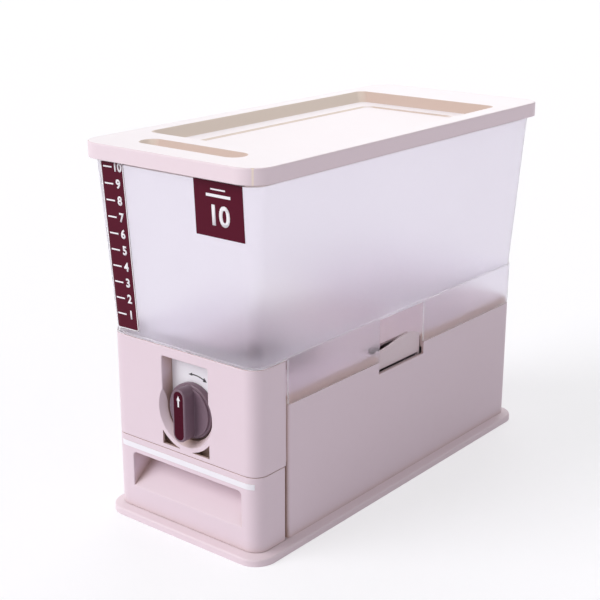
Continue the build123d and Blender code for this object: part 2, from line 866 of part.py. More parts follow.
with BuildPart() as rotor:
    # half shell: at rest it closes the bottom and the left side of the drum, and is open above
    with BuildSketch(at_depth(rotor_rear)):
        with Locations((dial_x, dial_z)):
            Circle(rotor_radius)
            Circle(rotor_radius - rotor_wall, mode=Mode.SUBTRACT)
        lean = rotor_radius / 2 ** 0.5
        with Locations(Location((dial_x + lean, dial_z + lean), 45)):
            Rectangle(2 * rotor_radius, 4 * rotor_radius, mode=Mode.SUBTRACT)
    extrude(amount=rotor_rear - rotor_front)
    cylinder_at(dial_x, dial_z, rotor_radius, rotor_front, rotor_front + rotor_disc)
    cylinder_at(dial_x, dial_z, rotor_radius, rotor_rear - rotor_disc, rotor_rear)
    cylinder_at(dial_x, dial_z, rotor_hub, rotor_front, rotor_rear)
    cylinder_at(
        dial_x, dial_z, shaft_radius + shaft_fit, rotor_front - 1, rotor_rear + 1, Mode.SUBTRACT
    )
rotor.part.label = "rotor"
export_step(rotor.part, "parts/rotor.step")

# ---------------------------------------------------------------- inner deck
deck_wide = inner_half - deck_side_gap
deck_narrow = frame_opening - deck_side_gap
stop_rear = tub_rear - tub_wall - drawer_travel - slide_gap

with BuildPart() as inner_deck:
    block(
        (-deck_wide, cavity_front + deck_side_gap, deck_bottom),
        (deck_wide, deck_length, deck_top),
    )
    block(
        (-deck_narrow, body_corner + 1, deck_bottom),
        (deck_narrow, cavity_front + 1, deck_top),
    )
    # stops that catch the lip of the drawer's tub
    for side in (-1, 1):
        near = side * stop_inner
        far = side * (stop_inner + stop_width)
        block(
            (min(near, far), stop_rear - stop_thickness, stop_bottom),
            (max(near, far), stop_rear, deck_top),
        )
    chute_cut = chute_half + chute_wall + slide_gap
    block(
        (dial_x - chute_cut, inlet_front - chute_wall - slide_gap, deck_bottom - 1),
        (dial_x + chute_cut, inlet_rear + chute_wall + slide_gap, deck_top + 1),
        Mode.SUBTRACT,
    )
    for x, depth in foot_spots:
        post_at(x, depth, boss_radius, deck_bottom, foot_bottom)
        pilot_low = foot_top - screw_length - seam
        post_at(x, depth, screw_radius + pilot_fit, pilot_low, foot_bottom + 1, Mode.SUBTRACT)
inner_deck.part.label = "inner_deck"
export_step(inner_deck.part, "parts/inner_deck.step")

with BuildPart() as housing_screws:
    for x, depth in foot_spots:
        add_screw(Plane(origin=(x, front_y + depth, foot_top), z_dir=(0, 0, 1)))
housing_screws.part.label = "housing_screws"
export_step(housing_screws.part, "parts/housing_screws.step")

# ---------------------------------------------------------------- plates in the hand windows
for side_name, side in (("left", -1), ("right", 1)):
    with BuildPart() as grip_plate:
        plate_front = front_y + window_front + 2 * slide_gap
        plate_rear = front_y + window_rear - 2 * slide_gap
        middle = (plate_front + plate_rear) / 2
        outer_x = side * grip_face
        with BuildSketch(Plane.YZ.offset(outer_x)):
            with BuildLine():
                Line((plate_front, deck_top), (plate_rear, deck_top))
                Line((plate_rear, deck_top), (plate_rear, grip_end))
                Spline(
                    (plate_rear, grip_end),
                    ((middle + plate_rear) / 2, grip_high),
                    (middle, grip_high - 1.5),
                    ((middle + plate_front) / 2, grip_low),
                    (plate_front, grip_low),
                )
                Line((plate_front, grip_low), (plate_front, deck_top))
            make_face()
        extrude(amount=-side * grip_thickness)
        foot_x = side * (grip_face - grip_foot)
        block(
            (min(foot_x, outer_x), window_front + 2 * slide_gap, deck_top),
            (max(foot_x, outer_x), window_rear - 2 * slide_gap, deck_top + grip_thickness),
        )
        slot_top = window_bottom + grip_slot_rise
        block(
            (min(foot_x, 2 * outer_x), window_front + grip_leg, slot_top - grip_slot),
            (max(foot_x, 2 * outer_x), window_rear - grip_leg, slot_top),
            Mode.SUBTRACT,
        )
    grip_plate.part.label = f"grip_plate_{side_name}"
    export_step(grip_plate.part, f"parts/grip_plate_{side_name}.step")

# ---------------------------------------------------------------- drawer
drawer_screw_spots = [
    (side * drawer_screw_x, z) for side in (-1, 1) for z in (drawer_screw_low, drawer_screw_high)
]


def scoop_profile(grow):
    """Side profile of the finger recess: its floor rises to the back, grown by a wall."""
    near = front_y - (0 if grow else 1)
    far = front_y + scoop_depth + grow
    slope = (scoop_floor_back - scoop_bottom) / scoop_depth
    Polyline(
        (near, scoop_bottom - grow + slope * (near - front_y)),
        (far, scoop_floor_back - grow + slope * grow),
        (far, scoop_top + grow),
        (near, scoop_top + grow),
        close=True,
    )


with BuildPart() as drawer_front:
    with BuildSketch(at_height(drawer_bottom)):
        front_wrap(0, shell, drawer_return)
    extrude(amount=drawer_top - drawer_bottom)
    with BuildSketch(at_height(drawer_top)):
        RectangleRounded(body_width, body_length, body_corner)
        with Locations((0, drawer_return)):
            Rectangle(2 * body_width, body_length, mode=Mode.SUBTRACT)
    extrude(amount=-shell)
    # rear wall that the tub is screwed to
    block(
        (-inner_half, drawer_return - shell, drawer_bottom),
        (inner_half, drawer_return, drawer_top),
    )
    top_edges = drawer_front.edges().filter_by_position(Axis.Z, drawer_top, drawer_top)
    fillet(top_edges, radius=edge_round)
    with BuildSketch(Plane.YZ.offset(scoop_x - scoop_width / 2 - scoop_wall)):
        with BuildLine():
            scoop_profile(scoop_wall)
        make_face()
    extrude(amount=scoop_width + 2 * scoop_wall)
    with BuildPart(mode=Mode.PRIVATE) as scoop_hollow:
        with BuildSketch(Plane.YZ.offset(scoop_x - scoop_width / 2)):
            with BuildLine():
                scoop_profile(0)
            make_face()
        extrude(amount=scoop_width)
        corner_edges = scoop_hollow.edges().filter_by(Axis.Y)
        fillet(corner_edges.group_by(Axis.Z)[-1], radius=scoop_corner)
    add(scoop_hollow.part, mode=Mode.SUBTRACT)
    scoop_mouth = drawer_front.faces().sort_by(Axis.Y)[0].inner_wires()[0]
    fillet(scoop_mouth.edges(), radius=scoop_round)
    for x, z in drawer_screw_spots:
        cylinder_at(x, z, boss_radius, drawer_return - front_boss_length, drawer_return)
        pilot_near = drawer_return + tub_wall - screw_length - pilot_spare
        cylinder_at(x, z, screw_radius + pilot_fit, pilot_near, drawer_return + 1, Mode.SUBTRACT)
drawer_front.part.label = "drawer_front"
export_step(drawer_front.part, "parts/drawer_front.step")

with BuildPart() as drawer_tray:
    tub_y = front_y + (drawer_return + tub_rear) / 2
    with BuildSketch(at_height(tub_bottom)):
        with Locations((0, tub_y)):
            RectangleRounded(2 * tub_half_width, tub_length, tub_corner)
    extrude(amount=tub_height)
    with BuildSketch(at_height(tub_bottom + tub_wall)):
        with Locations((0, tub_y)):
            RectangleRounded(
                2 * (tub_half_width - tub_wall), tub_length - 2 * tub_wall, tub_corner - tub_wall
            )
    extrude(amount=tub_height, mode=Mode.SUBTRACT)
    # raised rear lip that meets the deck's stops when the drawer is pulled right out
    block(
        (-tub_lip_half_width, tub_rear - tub_wall, tub_top - 2 * tub_wall),
        (tub_lip_half_width, tub_rear, tub_lip_top),
    )
    for x, z in drawer_screw_spots:
        cylinder_at(
            x, z, screw_radius + screw_slack, drawer_return - 1, drawer_return + tub_wall + 1,
            Mode.SUBTRACT,
        )
drawer_tray.part.label = "drawer_tray"
export_step(drawer_tray.part, "parts/drawer_tray.step")

with BuildPart() as drawer_screws:
    for x, z in drawer_screw_spots:
        seat = Plane(origin=(x, front_y + drawer_return + tub_wall, z), z_dir=(0, 1, 0))
        add_screw(seat)
drawer_screws.part.label = "drawer_screws"
export_step(drawer_screws.part, "parts/drawer_screws.step")

with BuildPart() as drawer_strip:
    with BuildSketch(at_height(strip_z - strip_height / 2)):
        front_wrap(-sticker, sticker, body_corner)
        with Locations((scoop_x, front_y)):
            Rectangle(strip_length, 2 * body_corner, mode=Mode.INTERSECT)
    extrude(amount=strip_height)
drawer_strip.part.label = "drawer_strip"
export_step(drawer_strip.part, "parts/drawer_strip.step")


# ---------------------------------------------------------------- hopper
def hopper_body(grow, mode=Mode.ADD):
    """Tapered outside of the hopper's walls, grown or shrunk all round."""
    foot = grow - hopper_inset
    head = grow + hopper_flare
    with BuildSketch(at_height(floor_top)) as low:
        RectangleRounded(body_width + 2 * foot, body_length + 2 * foot, body_corner + foot)
    with BuildSketch(at_height(hopper_top)) as high:
        RectangleRounded(body_width + 2 * head, body_length + 2 * head, hopper_corner + grow)
    loft([low.sketch.face(), high.sketch.face()], ruled=True, mode=mode)


throat_half = inlet_half - throat_gap
throat_front = inlet_front + throat_gap
throat_rear = inlet_rear - throat_gap
mouth_half = body_half - mouth_margin
mouth_rear = body_length - mouth_margin


def funnel(shrink, drop, mode=Mode.ADD):
    """Sloping floor from the wide mouth to the throat over the drum, and the throat itself."""
    mouth_y = front_y + (mouth_front + mouth_rear) / 2
    throat_y = front_y + (throat_front + throat_rear) / 2
    mouth = (2 * (mouth_half - shrink), mouth_rear - mouth_front - 2 * shrink)
    throat = (2 * (throat_half - shrink), throat_rear - throat_front - 2 * shrink)
    with BuildSketch(at_height(floor_top - drop)) as high:
        with Locations((0, mouth_y)):
            RectangleRounded(*mouth, mouth_corner)
    with BuildSketch(at_height(throat_top - drop)) as low:
        with Locations((dial_x, throat_y)):
            RectangleRounded(*throat, throat_corner)
    loft([low.sketch.face(), high.sketch.face()], ruled=True, mode=mode)
    extrude(low.sketch, amount=throat_bottom - throat_top + drop, mode=mode)


with BuildPart() as hopper:
    hopper_body(0)
    # rim that the lid sits on
    with BuildSketch(at_height(hopper_top)):
        rim_inset = lid_wall + lid_gap
        RectangleRounded(
            lid_width - 2 * rim_inset, lid_length - 2 * rim_inset, lid_corner - rim_inset
        )
    extrude(amount=-rim_thickness)
    with BuildSketch(at_height(hopper_bottom)):
        RectangleRounded(body_width, body_length, body_corner)
    extrude(amount=floor_thickness)
    funnel(0, floor_thickness)
    hopper_body(-hopper_wall, Mode.SUBTRACT)
    funnel(hopper_wall, 0, Mode.SUBTRACT)
    # skirt over the casing's shoulder, open at the front block and at the hand windows
    with BuildSketch(at_height(skirt_bottom)):
        RectangleRounded(body_width, body_length, body_corner)
        RectangleRounded(
            body_width - 2 * skirt_wall,
            body_length - 2 * skirt_wall,
            body_corner - skirt_wall,
            mode=Mode.SUBTRACT,
        )
        with Locations((0, front_y)):
            Rectangle(2 * body_width, 2 * skirt_front, mode=Mode.SUBTRACT)
    extrude(amount=hopper_bottom - skirt_bottom)
    block(
        (-body_width, window_front, skirt_bottom - 1),
        (body_width, window_rear, hopper_bottom),
        Mode.SUBTRACT,
    )
hopper.part.label = "hopper"
export_step(hopper.part, "parts/hopper.step")

# ---------------------------------------------------------------- stickers on the hopper
front_face = Plane(
    origin=(0, front_y + hopper_inset, floor_top),
    x_dir=(1, 0, 0),
    z_dir=(0, -cos(hopper_lean), -sin(hopper_lean)),
)

with BuildPart() as scale_strip:
    hopper_body(sticker)
    hopper_body(0, Mode.SUBTRACT)
    with BuildSketch(front_face.offset(-hopper_corner)):
        with Locations(Location((scale_x, scale_bottom + scale_height / 2), scale_tilt)):
            RectangleRounded(scale_width, scale_height, sticker_corner)
    extrude(amount=2 * hopper_corner, mode=Mode.INTERSECT)
scale_strip.part.label = "scale_strip"
export_step(scale_strip.part, "parts/scale_strip.step")

with BuildPart() as square_label:
    hopper_body(sticker)
    hopper_body(0, Mode.SUBTRACT)
    with BuildSketch(front_face.offset(-hopper_corner)):
        with Locations((label_x, label_middle)):
            Rectangle(label_width, label_height)
    extrude(amount=2 * hopper_corner, mode=Mode.INTERSECT)
square_label.part.label = "square_label"
export_step(square_label.part, "parts/square_label.step")

# ---------------------------------------------------------------- lid
plug_inset = hopper_wall + plug_gap - hopper_flare
tray_y = front_y + (tray_front + tray_rear) / 2
tray_floor_z = lid_top - tray_depth


def tray_outline(z, inset):
    """Outline of the lid's sunken tray at a height, moved inwards by an inset."""
    with BuildSketch(at_height(z)) as outline:
        with Locations((0, tray_y)):
            RectangleRounded(
                2 * (tray_half_width - inset), tray_rear - tray_front - 2 * inset, tray_corner
            )
    return outline.sketch.face()


def grip_outline(z, length, width):
    """Outline of the lid's finger recess at a height."""
    with BuildSketch(at_height(z)) as outline:
        with Locations((0, front_y + grip_recess_y)):
            SlotOverall(length, width)
    return outline.sketch.face()


with BuildPart() as lid:
    with BuildSketch(at_height(lid_bottom)):
        RectangleRounded(lid_width, lid_length, lid_corner)
    extrude(amount=lid_top - lid_bottom)
    fillet(lid.faces().sort_by(Axis.Z)[-1].edges(), radius=lid_round)
    with BuildSketch(at_height(lid_bottom)):
        RectangleRounded(
            lid_width - 2 * lid_wall, lid_length - 2 * lid_wall, lid_corner - lid_wall
        )
    extrude(amount=lid_skin - lid_bottom, mode=Mode.SUBTRACT)
    # ring that rests on the hopper's rim, and the plug rib inside the hopper's mouth
    rib_inset = plug_inset + plug_wall
    with BuildSketch(at_height(hopper_top + slide_gap)) as seat_ring:
        RectangleRounded(
            lid_width - 2 * lid_wall, lid_length - 2 * lid_wall, lid_corner - lid_wall
        )
        RectangleRounded(
            body_width - 2 * rib_inset,
            body_length - 2 * rib_inset,
            hopper_corner,
            mode=Mode.SUBTRACT,
        )
    extrude(amount=lid_skin - hopper_top - slide_gap)
    with BuildSketch(at_height(plug_bottom)):
        RectangleRounded(
            body_width - 2 * plug_inset, body_length - 2 * plug_inset, hopper_corner
        )
        RectangleRounded(
            body_width - 2 * rib_inset,
            body_length - 2 * rib_inset,
            hopper_corner,
            mode=Mode.SUBTRACT,
        )
    extrude(amount=lid_skin - plug_bottom)
    # sunken tray: its walls and floor, then its hollow in two steps
    loft(
        [
            tray_outline(lid_skin, -recess_skin),
            tray_outline(tray_floor_z - recess_skin, tray_slope - recess_skin),
        ],
        ruled=True,
    )
    loft(
        [tray_outline(lid_top, 0), tray_outline(tray_floor_z, tray_slope)],
        ruled=True,
        mode=Mode.SUBTRACT,
    )
    inner_edge = tray_slope + ledge_width
    loft(
        [
            tray_outline(tray_floor_z, inner_edge),
            tray_outline(tray_floor_z - ledge_drop, inner_edge + ledge_slope),
        ],
        ruled=True,
        mode=Mode.SUBTRACT,
    )
    # finger recess
    grip_shell_length = grip_recess_length + 2 * recess_skin
    grip_shell_width = grip_recess_width + 2 * recess_skin
    extrude(
        grip_outline(lid_skin, grip_shell_length, grip_shell_width),
        amount=-(grip_recess_depth + recess_skin - lid_wall),
    )
    floor_narrower = grip_recess_width - grip_recess_floor
    loft(
        [
            grip_outline(lid_top, grip_recess_length, grip_recess_width),
            grip_outline(
                lid_top - grip_recess_depth,
                grip_recess_length - floor_narrower,
                grip_recess_floor,
            ),
        ],
        ruled=True,
        mode=Mode.SUBTRACT,
    )
    recess_mouths = lid.faces().sort_by(Axis.Z)[-1].inner_wires()
    fillet([edge for mouth in recess_mouths for edge in mouth.edges()], radius=recess_round)
lid.part.label = "lid"
export_step(lid.part, "parts/lid.step")
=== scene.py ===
# %% [markdown]
# # A countertop rice dispenser with a drawer
# The construction model arrives finished: every moulding, screw and shaft is at its real size and place.
# What is left for Blender is the look: moulded plastics, a frosted bin, printed films, steel, and light.
# All lengths are metres, +Z is up, and the front with the knob and the drawer faces -Y.

# %% Load the frame
import math

import bmesh
import bpy
from mathutils import Matrix, Vector


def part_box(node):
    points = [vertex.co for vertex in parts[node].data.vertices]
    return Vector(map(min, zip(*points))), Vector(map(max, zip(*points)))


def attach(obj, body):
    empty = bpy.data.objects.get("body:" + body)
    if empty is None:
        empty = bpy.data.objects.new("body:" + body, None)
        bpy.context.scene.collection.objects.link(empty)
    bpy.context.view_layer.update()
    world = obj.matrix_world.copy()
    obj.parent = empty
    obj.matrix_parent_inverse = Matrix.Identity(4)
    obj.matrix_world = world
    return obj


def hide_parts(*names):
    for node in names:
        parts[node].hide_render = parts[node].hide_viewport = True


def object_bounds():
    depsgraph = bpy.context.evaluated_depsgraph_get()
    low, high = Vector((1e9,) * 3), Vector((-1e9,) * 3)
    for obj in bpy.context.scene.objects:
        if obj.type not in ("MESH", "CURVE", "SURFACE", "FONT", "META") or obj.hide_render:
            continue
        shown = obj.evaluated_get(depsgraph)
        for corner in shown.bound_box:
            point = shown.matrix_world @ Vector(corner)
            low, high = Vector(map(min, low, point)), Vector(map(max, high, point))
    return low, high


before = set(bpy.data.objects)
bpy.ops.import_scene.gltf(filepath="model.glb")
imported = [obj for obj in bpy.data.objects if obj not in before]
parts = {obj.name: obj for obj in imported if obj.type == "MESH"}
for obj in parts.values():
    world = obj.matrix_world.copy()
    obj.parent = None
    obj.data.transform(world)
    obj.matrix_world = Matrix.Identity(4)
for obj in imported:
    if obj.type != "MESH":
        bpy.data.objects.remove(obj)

MM = 0.001
cad_low, cad_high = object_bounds()
print("pieces in the frame:", len(parts))
print("size in mm:", [round((high - low) / MM, 1) for low, high in zip(cad_low, cad_high)])

# %% [markdown]
# ## Small helpers for node trees
# Shaders and geometry are both built as node trees here. A node is a type, some plain settings and a few
# inputs, so one helper adds a node and fills its inputs, either with a value or with a link. A second one
# makes a group with named sockets, which is how an effect is shared by several finishes. Mixing two colours
# and starting an empty material come up so often that they get helpers too.

# %% Helpers for node trees
def put(tree, kind, inputs=None, **settings):
    """Adds a node; each input gets a plain value or a link from another node's output."""
    made = tree.nodes.new(kind)
    for name, value in settings.items():
        setattr(made, name, value)
    for name, value in (inputs or {}).items():
        if isinstance(value, bpy.types.NodeSocket):
            tree.links.new(value, made.inputs[name])
        else:
            made.inputs[name].default_value = value
    return made


def new_group(kind, name, inputs, outputs):
    """Makes a group; inputs are (name, socket, default) and outputs are (name, socket)."""
    tree = bpy.data.node_groups.new(name, kind)
    for label, socket, value in inputs:
        made = tree.interface.new_socket(label, in_out="INPUT", socket_type="NodeSocket" + socket)
        if value is not None:
            made.default_value = value
    for label, socket in outputs:
        tree.interface.new_socket(label, in_out="OUTPUT", socket_type="NodeSocket" + socket)
    given = tree.nodes.new("NodeGroupInput").outputs
    result = tree.nodes.new("NodeGroupOutput").inputs
    return tree, given, result


def place_group(tree, group, inputs):
    """Puts a shader group in a material and fills its inputs."""
    return put(tree, "ShaderNodeGroup", inputs, node_tree=group)


def maths(tree, operation, first, second):
    """The result of a Math node."""
    return put(tree, "ShaderNodeMath", {0: first, 1: second}, operation=operation).outputs[0]


def mix_colours(tree, share, low, high):
    """Mixes two linked colours: low where the linked share is 0, high where it is 1."""
    mix = put(tree, "ShaderNodeMix", data_type="RGBA")
    for socket, link in (("Factor", share), (6, low), (7, high)):
        tree.links.new(link, mix.inputs[socket])
    return mix.outputs[2]


def new_material(name):
    """An empty material and its node tree."""
    made = bpy.data.materials.new(name)
    made.use_nodes = True
    made.node_tree.nodes.clear()
    return made, made.node_tree


def relief(tree, height, normal, strength, depth):
    """A normal bent by a height; depth is what a height of one stands for, in metres."""
    inputs = {"Height": height, "Normal": normal, "Strength": strength, "Distance": depth}
    return put(tree, "ShaderNodeBump", inputs).outputs["Normal"]


def end_material(tree, surface):
    """Links a shader to the material's output."""
    put(tree, "ShaderNodeOutputMaterial", {"Surface": surface.outputs[0]})


print("helpers ready")

# %% [markdown]
# ## Effects that several finishes share
# A moulded wall isn't a mirror: the steel of the mould is spark eroded, which leaves a very fine grain, and
# the cooling plastic sinks a little, which leaves long soft waves. Both are heights for a Bump node. The
# same two noises also change how rough the surface is.

# %% Group: grain and waves of a moulded wall
def build_moulded_skin():
    tree, given, result = new_group(
        "ShaderNodeTree",
        "moulded_skin",
        [
            ("Grain Scale", "Float", 2400.0),
            ("Grain Depth", "Float", 0.35),
            ("Wave Scale", "Float", 22.0),
            ("Wave Depth", "Float", 1.0),
            ("Roughness", "Float", 0.5),
            ("Roughness Change", "Float", 0.08),
        ],
        [("Height", "Float"), ("Roughness", "Float")],
    )
    place = put(tree, "ShaderNodeTexCoord").outputs["Object"]
    grain = put(tree, "ShaderNodeTexNoise", {"Vector": place, "Scale": given["Grain Scale"], "Detail": 3.0})
    wave = put(tree, "ShaderNodeTexNoise", {"Vector": place, "Scale": given["Wave Scale"], "Detail": 2.0})
    fine = maths(tree, "MULTIPLY", grain.outputs["Fac"], given["Grain Depth"])
    slow = maths(tree, "MULTIPLY", wave.outputs["Fac"], given["Wave Depth"])
    tree.links.new(maths(tree, "ADD", fine, slow), result["Height"])
    patch = put(tree, "ShaderNodeTexNoise", {"Vector": place, "Scale": 60.0, "Detail": 4.0})
    centred = maths(tree, "SUBTRACT", patch.outputs["Fac"], 0.5)
    change = maths(tree, "MULTIPLY", centred, given["Roughness Change"])
    tree.links.new(maths(tree, "ADD", change, given["Roughness"]), result["Roughness"])
    return tree


moulded_skin = build_moulded_skin()
print("group", moulded_skin.name, "has", len(moulded_skin.nodes), "nodes")

# %% [markdown]
# No mould leaves a razor edge. The Bevel node looks round each point for other faces and returns a normal
# that turns softly over an edge. Where that normal leaves the face's own one, there is an edge, so their
# dot product is also a mask for a paler line on edges: partly wear from handling, partly a painted highlight.

# %% Group: rounded edges and their mask
def build_soft_edges():
    tree, given, result = new_group(
        "ShaderNodeTree",
        "soft_edges",
        [("Radius", "Float", 0.0006)],
        [("Normal", "Vector"), ("Edge", "Float")],
    )
    rounded = put(tree, "ShaderNodeBevel", {"Radius": given["Radius"]}, samples=6)
    own = put(tree, "ShaderNodeNewGeometry").outputs["Normal"]
    match = put(
        tree, "ShaderNodeVectorMath", {0: rounded.outputs[0], 1: own}, operation="DOT_PRODUCT"
    ).outputs["Value"]
    edge = put(
        tree,
        "ShaderNodeMapRange",
        {"Value": match, "From Min": 0.995, "From Max": 0.86, "To Min": 0.0, "To Max": 1.0},
    )
    tree.links.new(rounded.outputs[0], result["Normal"])
    tree.links.new(edge.outputs["Result"], result["Edge"])
    return tree


soft_edges = build_soft_edges()
print("group", soft_edges.name, "has", len(soft_edges.nodes), "nodes")

# %% [markdown]
# Light that bounces round inside a narrow hollow of cream plastic comes out darker and warmer, and this group
# paints that shade into the colour. The Ambient Occlusion node tells how much of the sky a point sees within
# a short distance, so it finds the finger recesses, the dial pocket and the foot of the tray's walls, which
# get the painted shade. The open faces stay as they are.

# %% Group: painted shade in a recess
def build_painted_recess_shade():
    tree, given, result = new_group(
        "ShaderNodeTree",
        "recess_tone",
        [
            ("Colour", "Color", (0.8, 0.8, 0.8, 1.0)),
            ("Tone", "Color", (0.6, 0.5, 0.45, 1.0)),
            ("Reach", "Float", 0.016),
        ],
        [("Colour", "Color")],
    )
    open_sky = put(tree, "ShaderNodeAmbientOcclusion", {"Distance": given["Reach"]}, samples=8).outputs["AO"]
    hidden = put(
        tree, "ShaderNodeMapRange", {"Value": open_sky, "From Min": 0.9, "From Max": 0.35}
    )
    toned = mix_colours(tree, hidden.outputs["Result"], given["Colour"], given["Tone"])
    tree.links.new(toned, result["Colour"])
    return tree


recess_tone = build_painted_recess_shade()
print("group", recess_tone.name, "has", len(recess_tone.nodes), "nodes")

# %% [markdown]
# The lid is one moulding of one cream, but its light and shade are painted into its colour in three tones.
# Its flat faces look up at the sky and get a painted highlight that is almost white, its rim is the plain
# cream, and the sloping walls of the tray and of the finger recess get a painted beige shade, paler on walls
# that face +X.
# Two things tell them apart: how far the face's normal leans from upright, and whether the point lies inside
# the rim.

# %% Group: painted light and shade of the lid
def build_lid_painted_light(middle, half):
    tree, given, result = new_group(
        "ShaderNodeTree",
        "lid_tones",
        [
            ("Rim", "Color", (0.8, 0.7, 0.7, 1.0)),
            ("Top", "Color", (0.90, 0.83, 0.865, 1.0)),
            ("Wall", "Color", (0.60, 0.45, 0.39, 1.0)),
            ("Shaded Wall", "Color", (0.88, 0.75, 0.66, 1.0)),
            ("Middle", "Vector", middle),
            ("Half", "Vector", half),
        ],
        [("Colour", "Color")],
    )
    place = put(tree, "ShaderNodeTexCoord").outputs["Object"]
    from_middle = put(tree, "ShaderNodeVectorMath", {0: place, 1: given["Middle"]}, operation="SUBTRACT")
    apart = put(tree, "ShaderNodeVectorMath", {0: from_middle.outputs[0]}, operation="ABSOLUTE")
    beyond = put(tree, "ShaderNodeVectorMath", {0: apart.outputs[0], 1: given["Half"]}, operation="SUBTRACT")
    over = put(tree, "ShaderNodeSeparateXYZ", {0: beyond.outputs[0]})
    inside = maths(tree, "LESS_THAN", maths(tree, "MAXIMUM", over.outputs["X"], over.outputs["Y"]), 0.0)
    facing = put(tree, "ShaderNodeNewGeometry").outputs["Normal"]
    lean = put(tree, "ShaderNodeSeparateXYZ", {0: facing})
    # Faces that look straight up get the painted highlight, almost white.
    flat = put(
        tree, "ShaderNodeMapRange", {"Value": lean.outputs["Z"], "From Min": 0.93, "From Max": 0.985}
    )
    # Walls that face +X get the paler painted shade, the others the darker one.
    away = put(tree, "ShaderNodeMapRange", {"Value": lean.outputs["X"], "From Min": 0.1, "From Max": 0.6})
    wall = mix_colours(tree, away.outputs[0], given["Wall"], given["Shaded Wall"])
    sides = mix_colours(tree, inside, given["Rim"], wall)
    tree.links.new(mix_colours(tree, flat.outputs[0], sides, given["Top"]), result["Colour"])
    return tree


lid_low, lid_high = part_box("lid")
rim_width = Vector((8 * MM, 5 * MM, 0.0))
lid_tones = build_lid_painted_light((lid_low + lid_high) / 2, (lid_high - lid_low) / 2 - rim_width)
print("group", lid_tones.name, "has", len(lid_tones.nodes), "nodes")

# %% [markdown]
# Plastic granules and pigment never mix to one exact colour, and a used kitchen object has faint hand
# marks. This group mixes three colours by two noises: a broad drift, and small cloudy smudges.

# %% Group: drift of the colour
def build_colour_drift():
    tree, given, result = new_group(
        "ShaderNodeTree",
        "colour_drift",
        [
            ("Colour", "Color", (0.8, 0.8, 0.8, 1.0)),
            ("Deeper", "Color", (0.7, 0.7, 0.7, 1.0)),
            ("Edge Colour", "Color", (0.9, 0.9, 0.9, 1.0)),
            ("Edge", "Float", 0.0),
            ("Drift Scale", "Float", 9.0),
            ("Drift", "Float", 0.5),
            ("Smudge", "Float", 0.2),
        ],
        [("Colour", "Color")],
    )
    place = put(tree, "ShaderNodeTexCoord").outputs["Object"]
    broad = put(tree, "ShaderNodeTexNoise", {"Vector": place, "Scale": given["Drift Scale"], "Detail": 3.0})
    cloud = put(tree, "ShaderNodeTexNoise", {"Vector": place, "Scale": 75.0, "Detail": 5.0, "Roughness": 0.7})
    patches = put(
        tree, "ShaderNodeMapRange", {"Value": cloud.outputs["Fac"], "From Min": 0.52, "From Max": 0.75}
    )
    far = maths(tree, "MULTIPLY", broad.outputs["Fac"], given["Drift"])
    near = maths(tree, "MULTIPLY", patches.outputs["Result"], given["Smudge"])
    share = put(tree, "ShaderNodeMath", {0: far, 1: near}, operation="ADD", use_clamp=True)
    body = mix_colours(tree, share.outputs[0], given["Colour"], given["Deeper"])
    # Edge Colour over the Edge mask: partly wear, partly a painted highlight.
    tree.links.new(mix_colours(tree, given["Edge"], body, given["Edge Colour"]), result["Colour"])
    return tree


colour_drift = build_colour_drift()
print("group", colour_drift.name, "has", len(colour_drift.nodes), "nodes")

# %% [markdown]
# ## Moulded plastics
# One function makes every opaque plastic and film from the three groups. It takes what really differs from
# one resin to the next: the colour, a deeper tone of it, how matt it is and how coarse the mould's grain is.
# Two more effects are by choice: a painted shade in its recesses, and the lid's painted light and shade.
# Numbers that are the same all over are set on the shader's own sockets.

# %% A function for opaque plastics
def plastic(
    name, colour, deeper, edge_colour, roughness, grain_depth, bump, edge_radius, edge_share,
    recess_shade=None, painted_light=None, **shader
):
    """Opaque moulded plastic; the keywords name sockets of the Principled BSDF, with _ for a space."""
    made, tree = new_material(name)
    skin = place_group(
        tree, moulded_skin, {"Roughness": roughness, "Grain Depth": grain_depth, "Roughness Change": 0.12}
    )
    edges = place_group(tree, soft_edges, {"Radius": edge_radius})
    # Edges are drawn paler: partly wear from handling, partly a painted highlight.
    worn_and_lit_edge = maths(tree, "MULTIPLY", edges.outputs["Edge"], edge_share)
    tint = place_group(
        tree,
        colour_drift,
        {
            "Colour": (*colour, 1.0),
            "Deeper": (*deeper, 1.0),
            "Edge Colour": (*edge_colour, 1.0),
            "Edge": worn_and_lit_edge,
            "Drift": 0.2 if painted_light else 0.5,
        },
    )
    # The lid's painted light: a painted highlight on its flat faces, painted shade on its sloping walls.
    if painted_light:
        tint = place_group(tree, painted_light, {"Rim": tint.outputs["Colour"]})
    # Painted shade in recesses, darker and warmer, found by the Ambient Occlusion node.
    if recess_shade:
        tint = place_group(tree, recess_tone, {"Colour": tint.outputs["Colour"], "Tone": (*recess_shade, 1.0)})
    normal = relief(tree, skin.outputs["Height"], edges.outputs["Normal"], bump, 0.0002)
    surface = put(
        tree,
        "ShaderNodeBsdfPrincipled",
        {
            "Base Color": tint.outputs["Colour"],
            "Roughness": skin.outputs["Roughness"],
            "Normal": normal,
        },
    )
    for socket, value in shader.items():
        surface.inputs[socket.replace("_", " ")].default_value = value
    end_material(tree, surface)
    return made


print("plastic() ready")

# %% [markdown]
# The body's plastic is a cream with a touch of pink; its deeper tone is warmer and comes and goes at random.
# Its recesses get a painted shade, darker and warmer, because light that bounces inside a cream recess comes
# out more yellow than it went in. The lid is the same cream drawn lighter, as painted light.

# %% Opaque finishes
outer_shell = dict(
    roughness=0.42, grain_depth=0.35, bump=0.25, edge_radius=0.0007, edge_share=0.4, Specular_IOR_Level=0.35
)
# Its recesses get a painted shade of warm beige.
cream = plastic(
    "cream_polypropylene", (0.755, 0.625, 0.69), (0.73, 0.59, 0.645), (0.81, 0.71, 0.76),
    recess_shade=(0.52, 0.36, 0.31), **outer_shell,
)
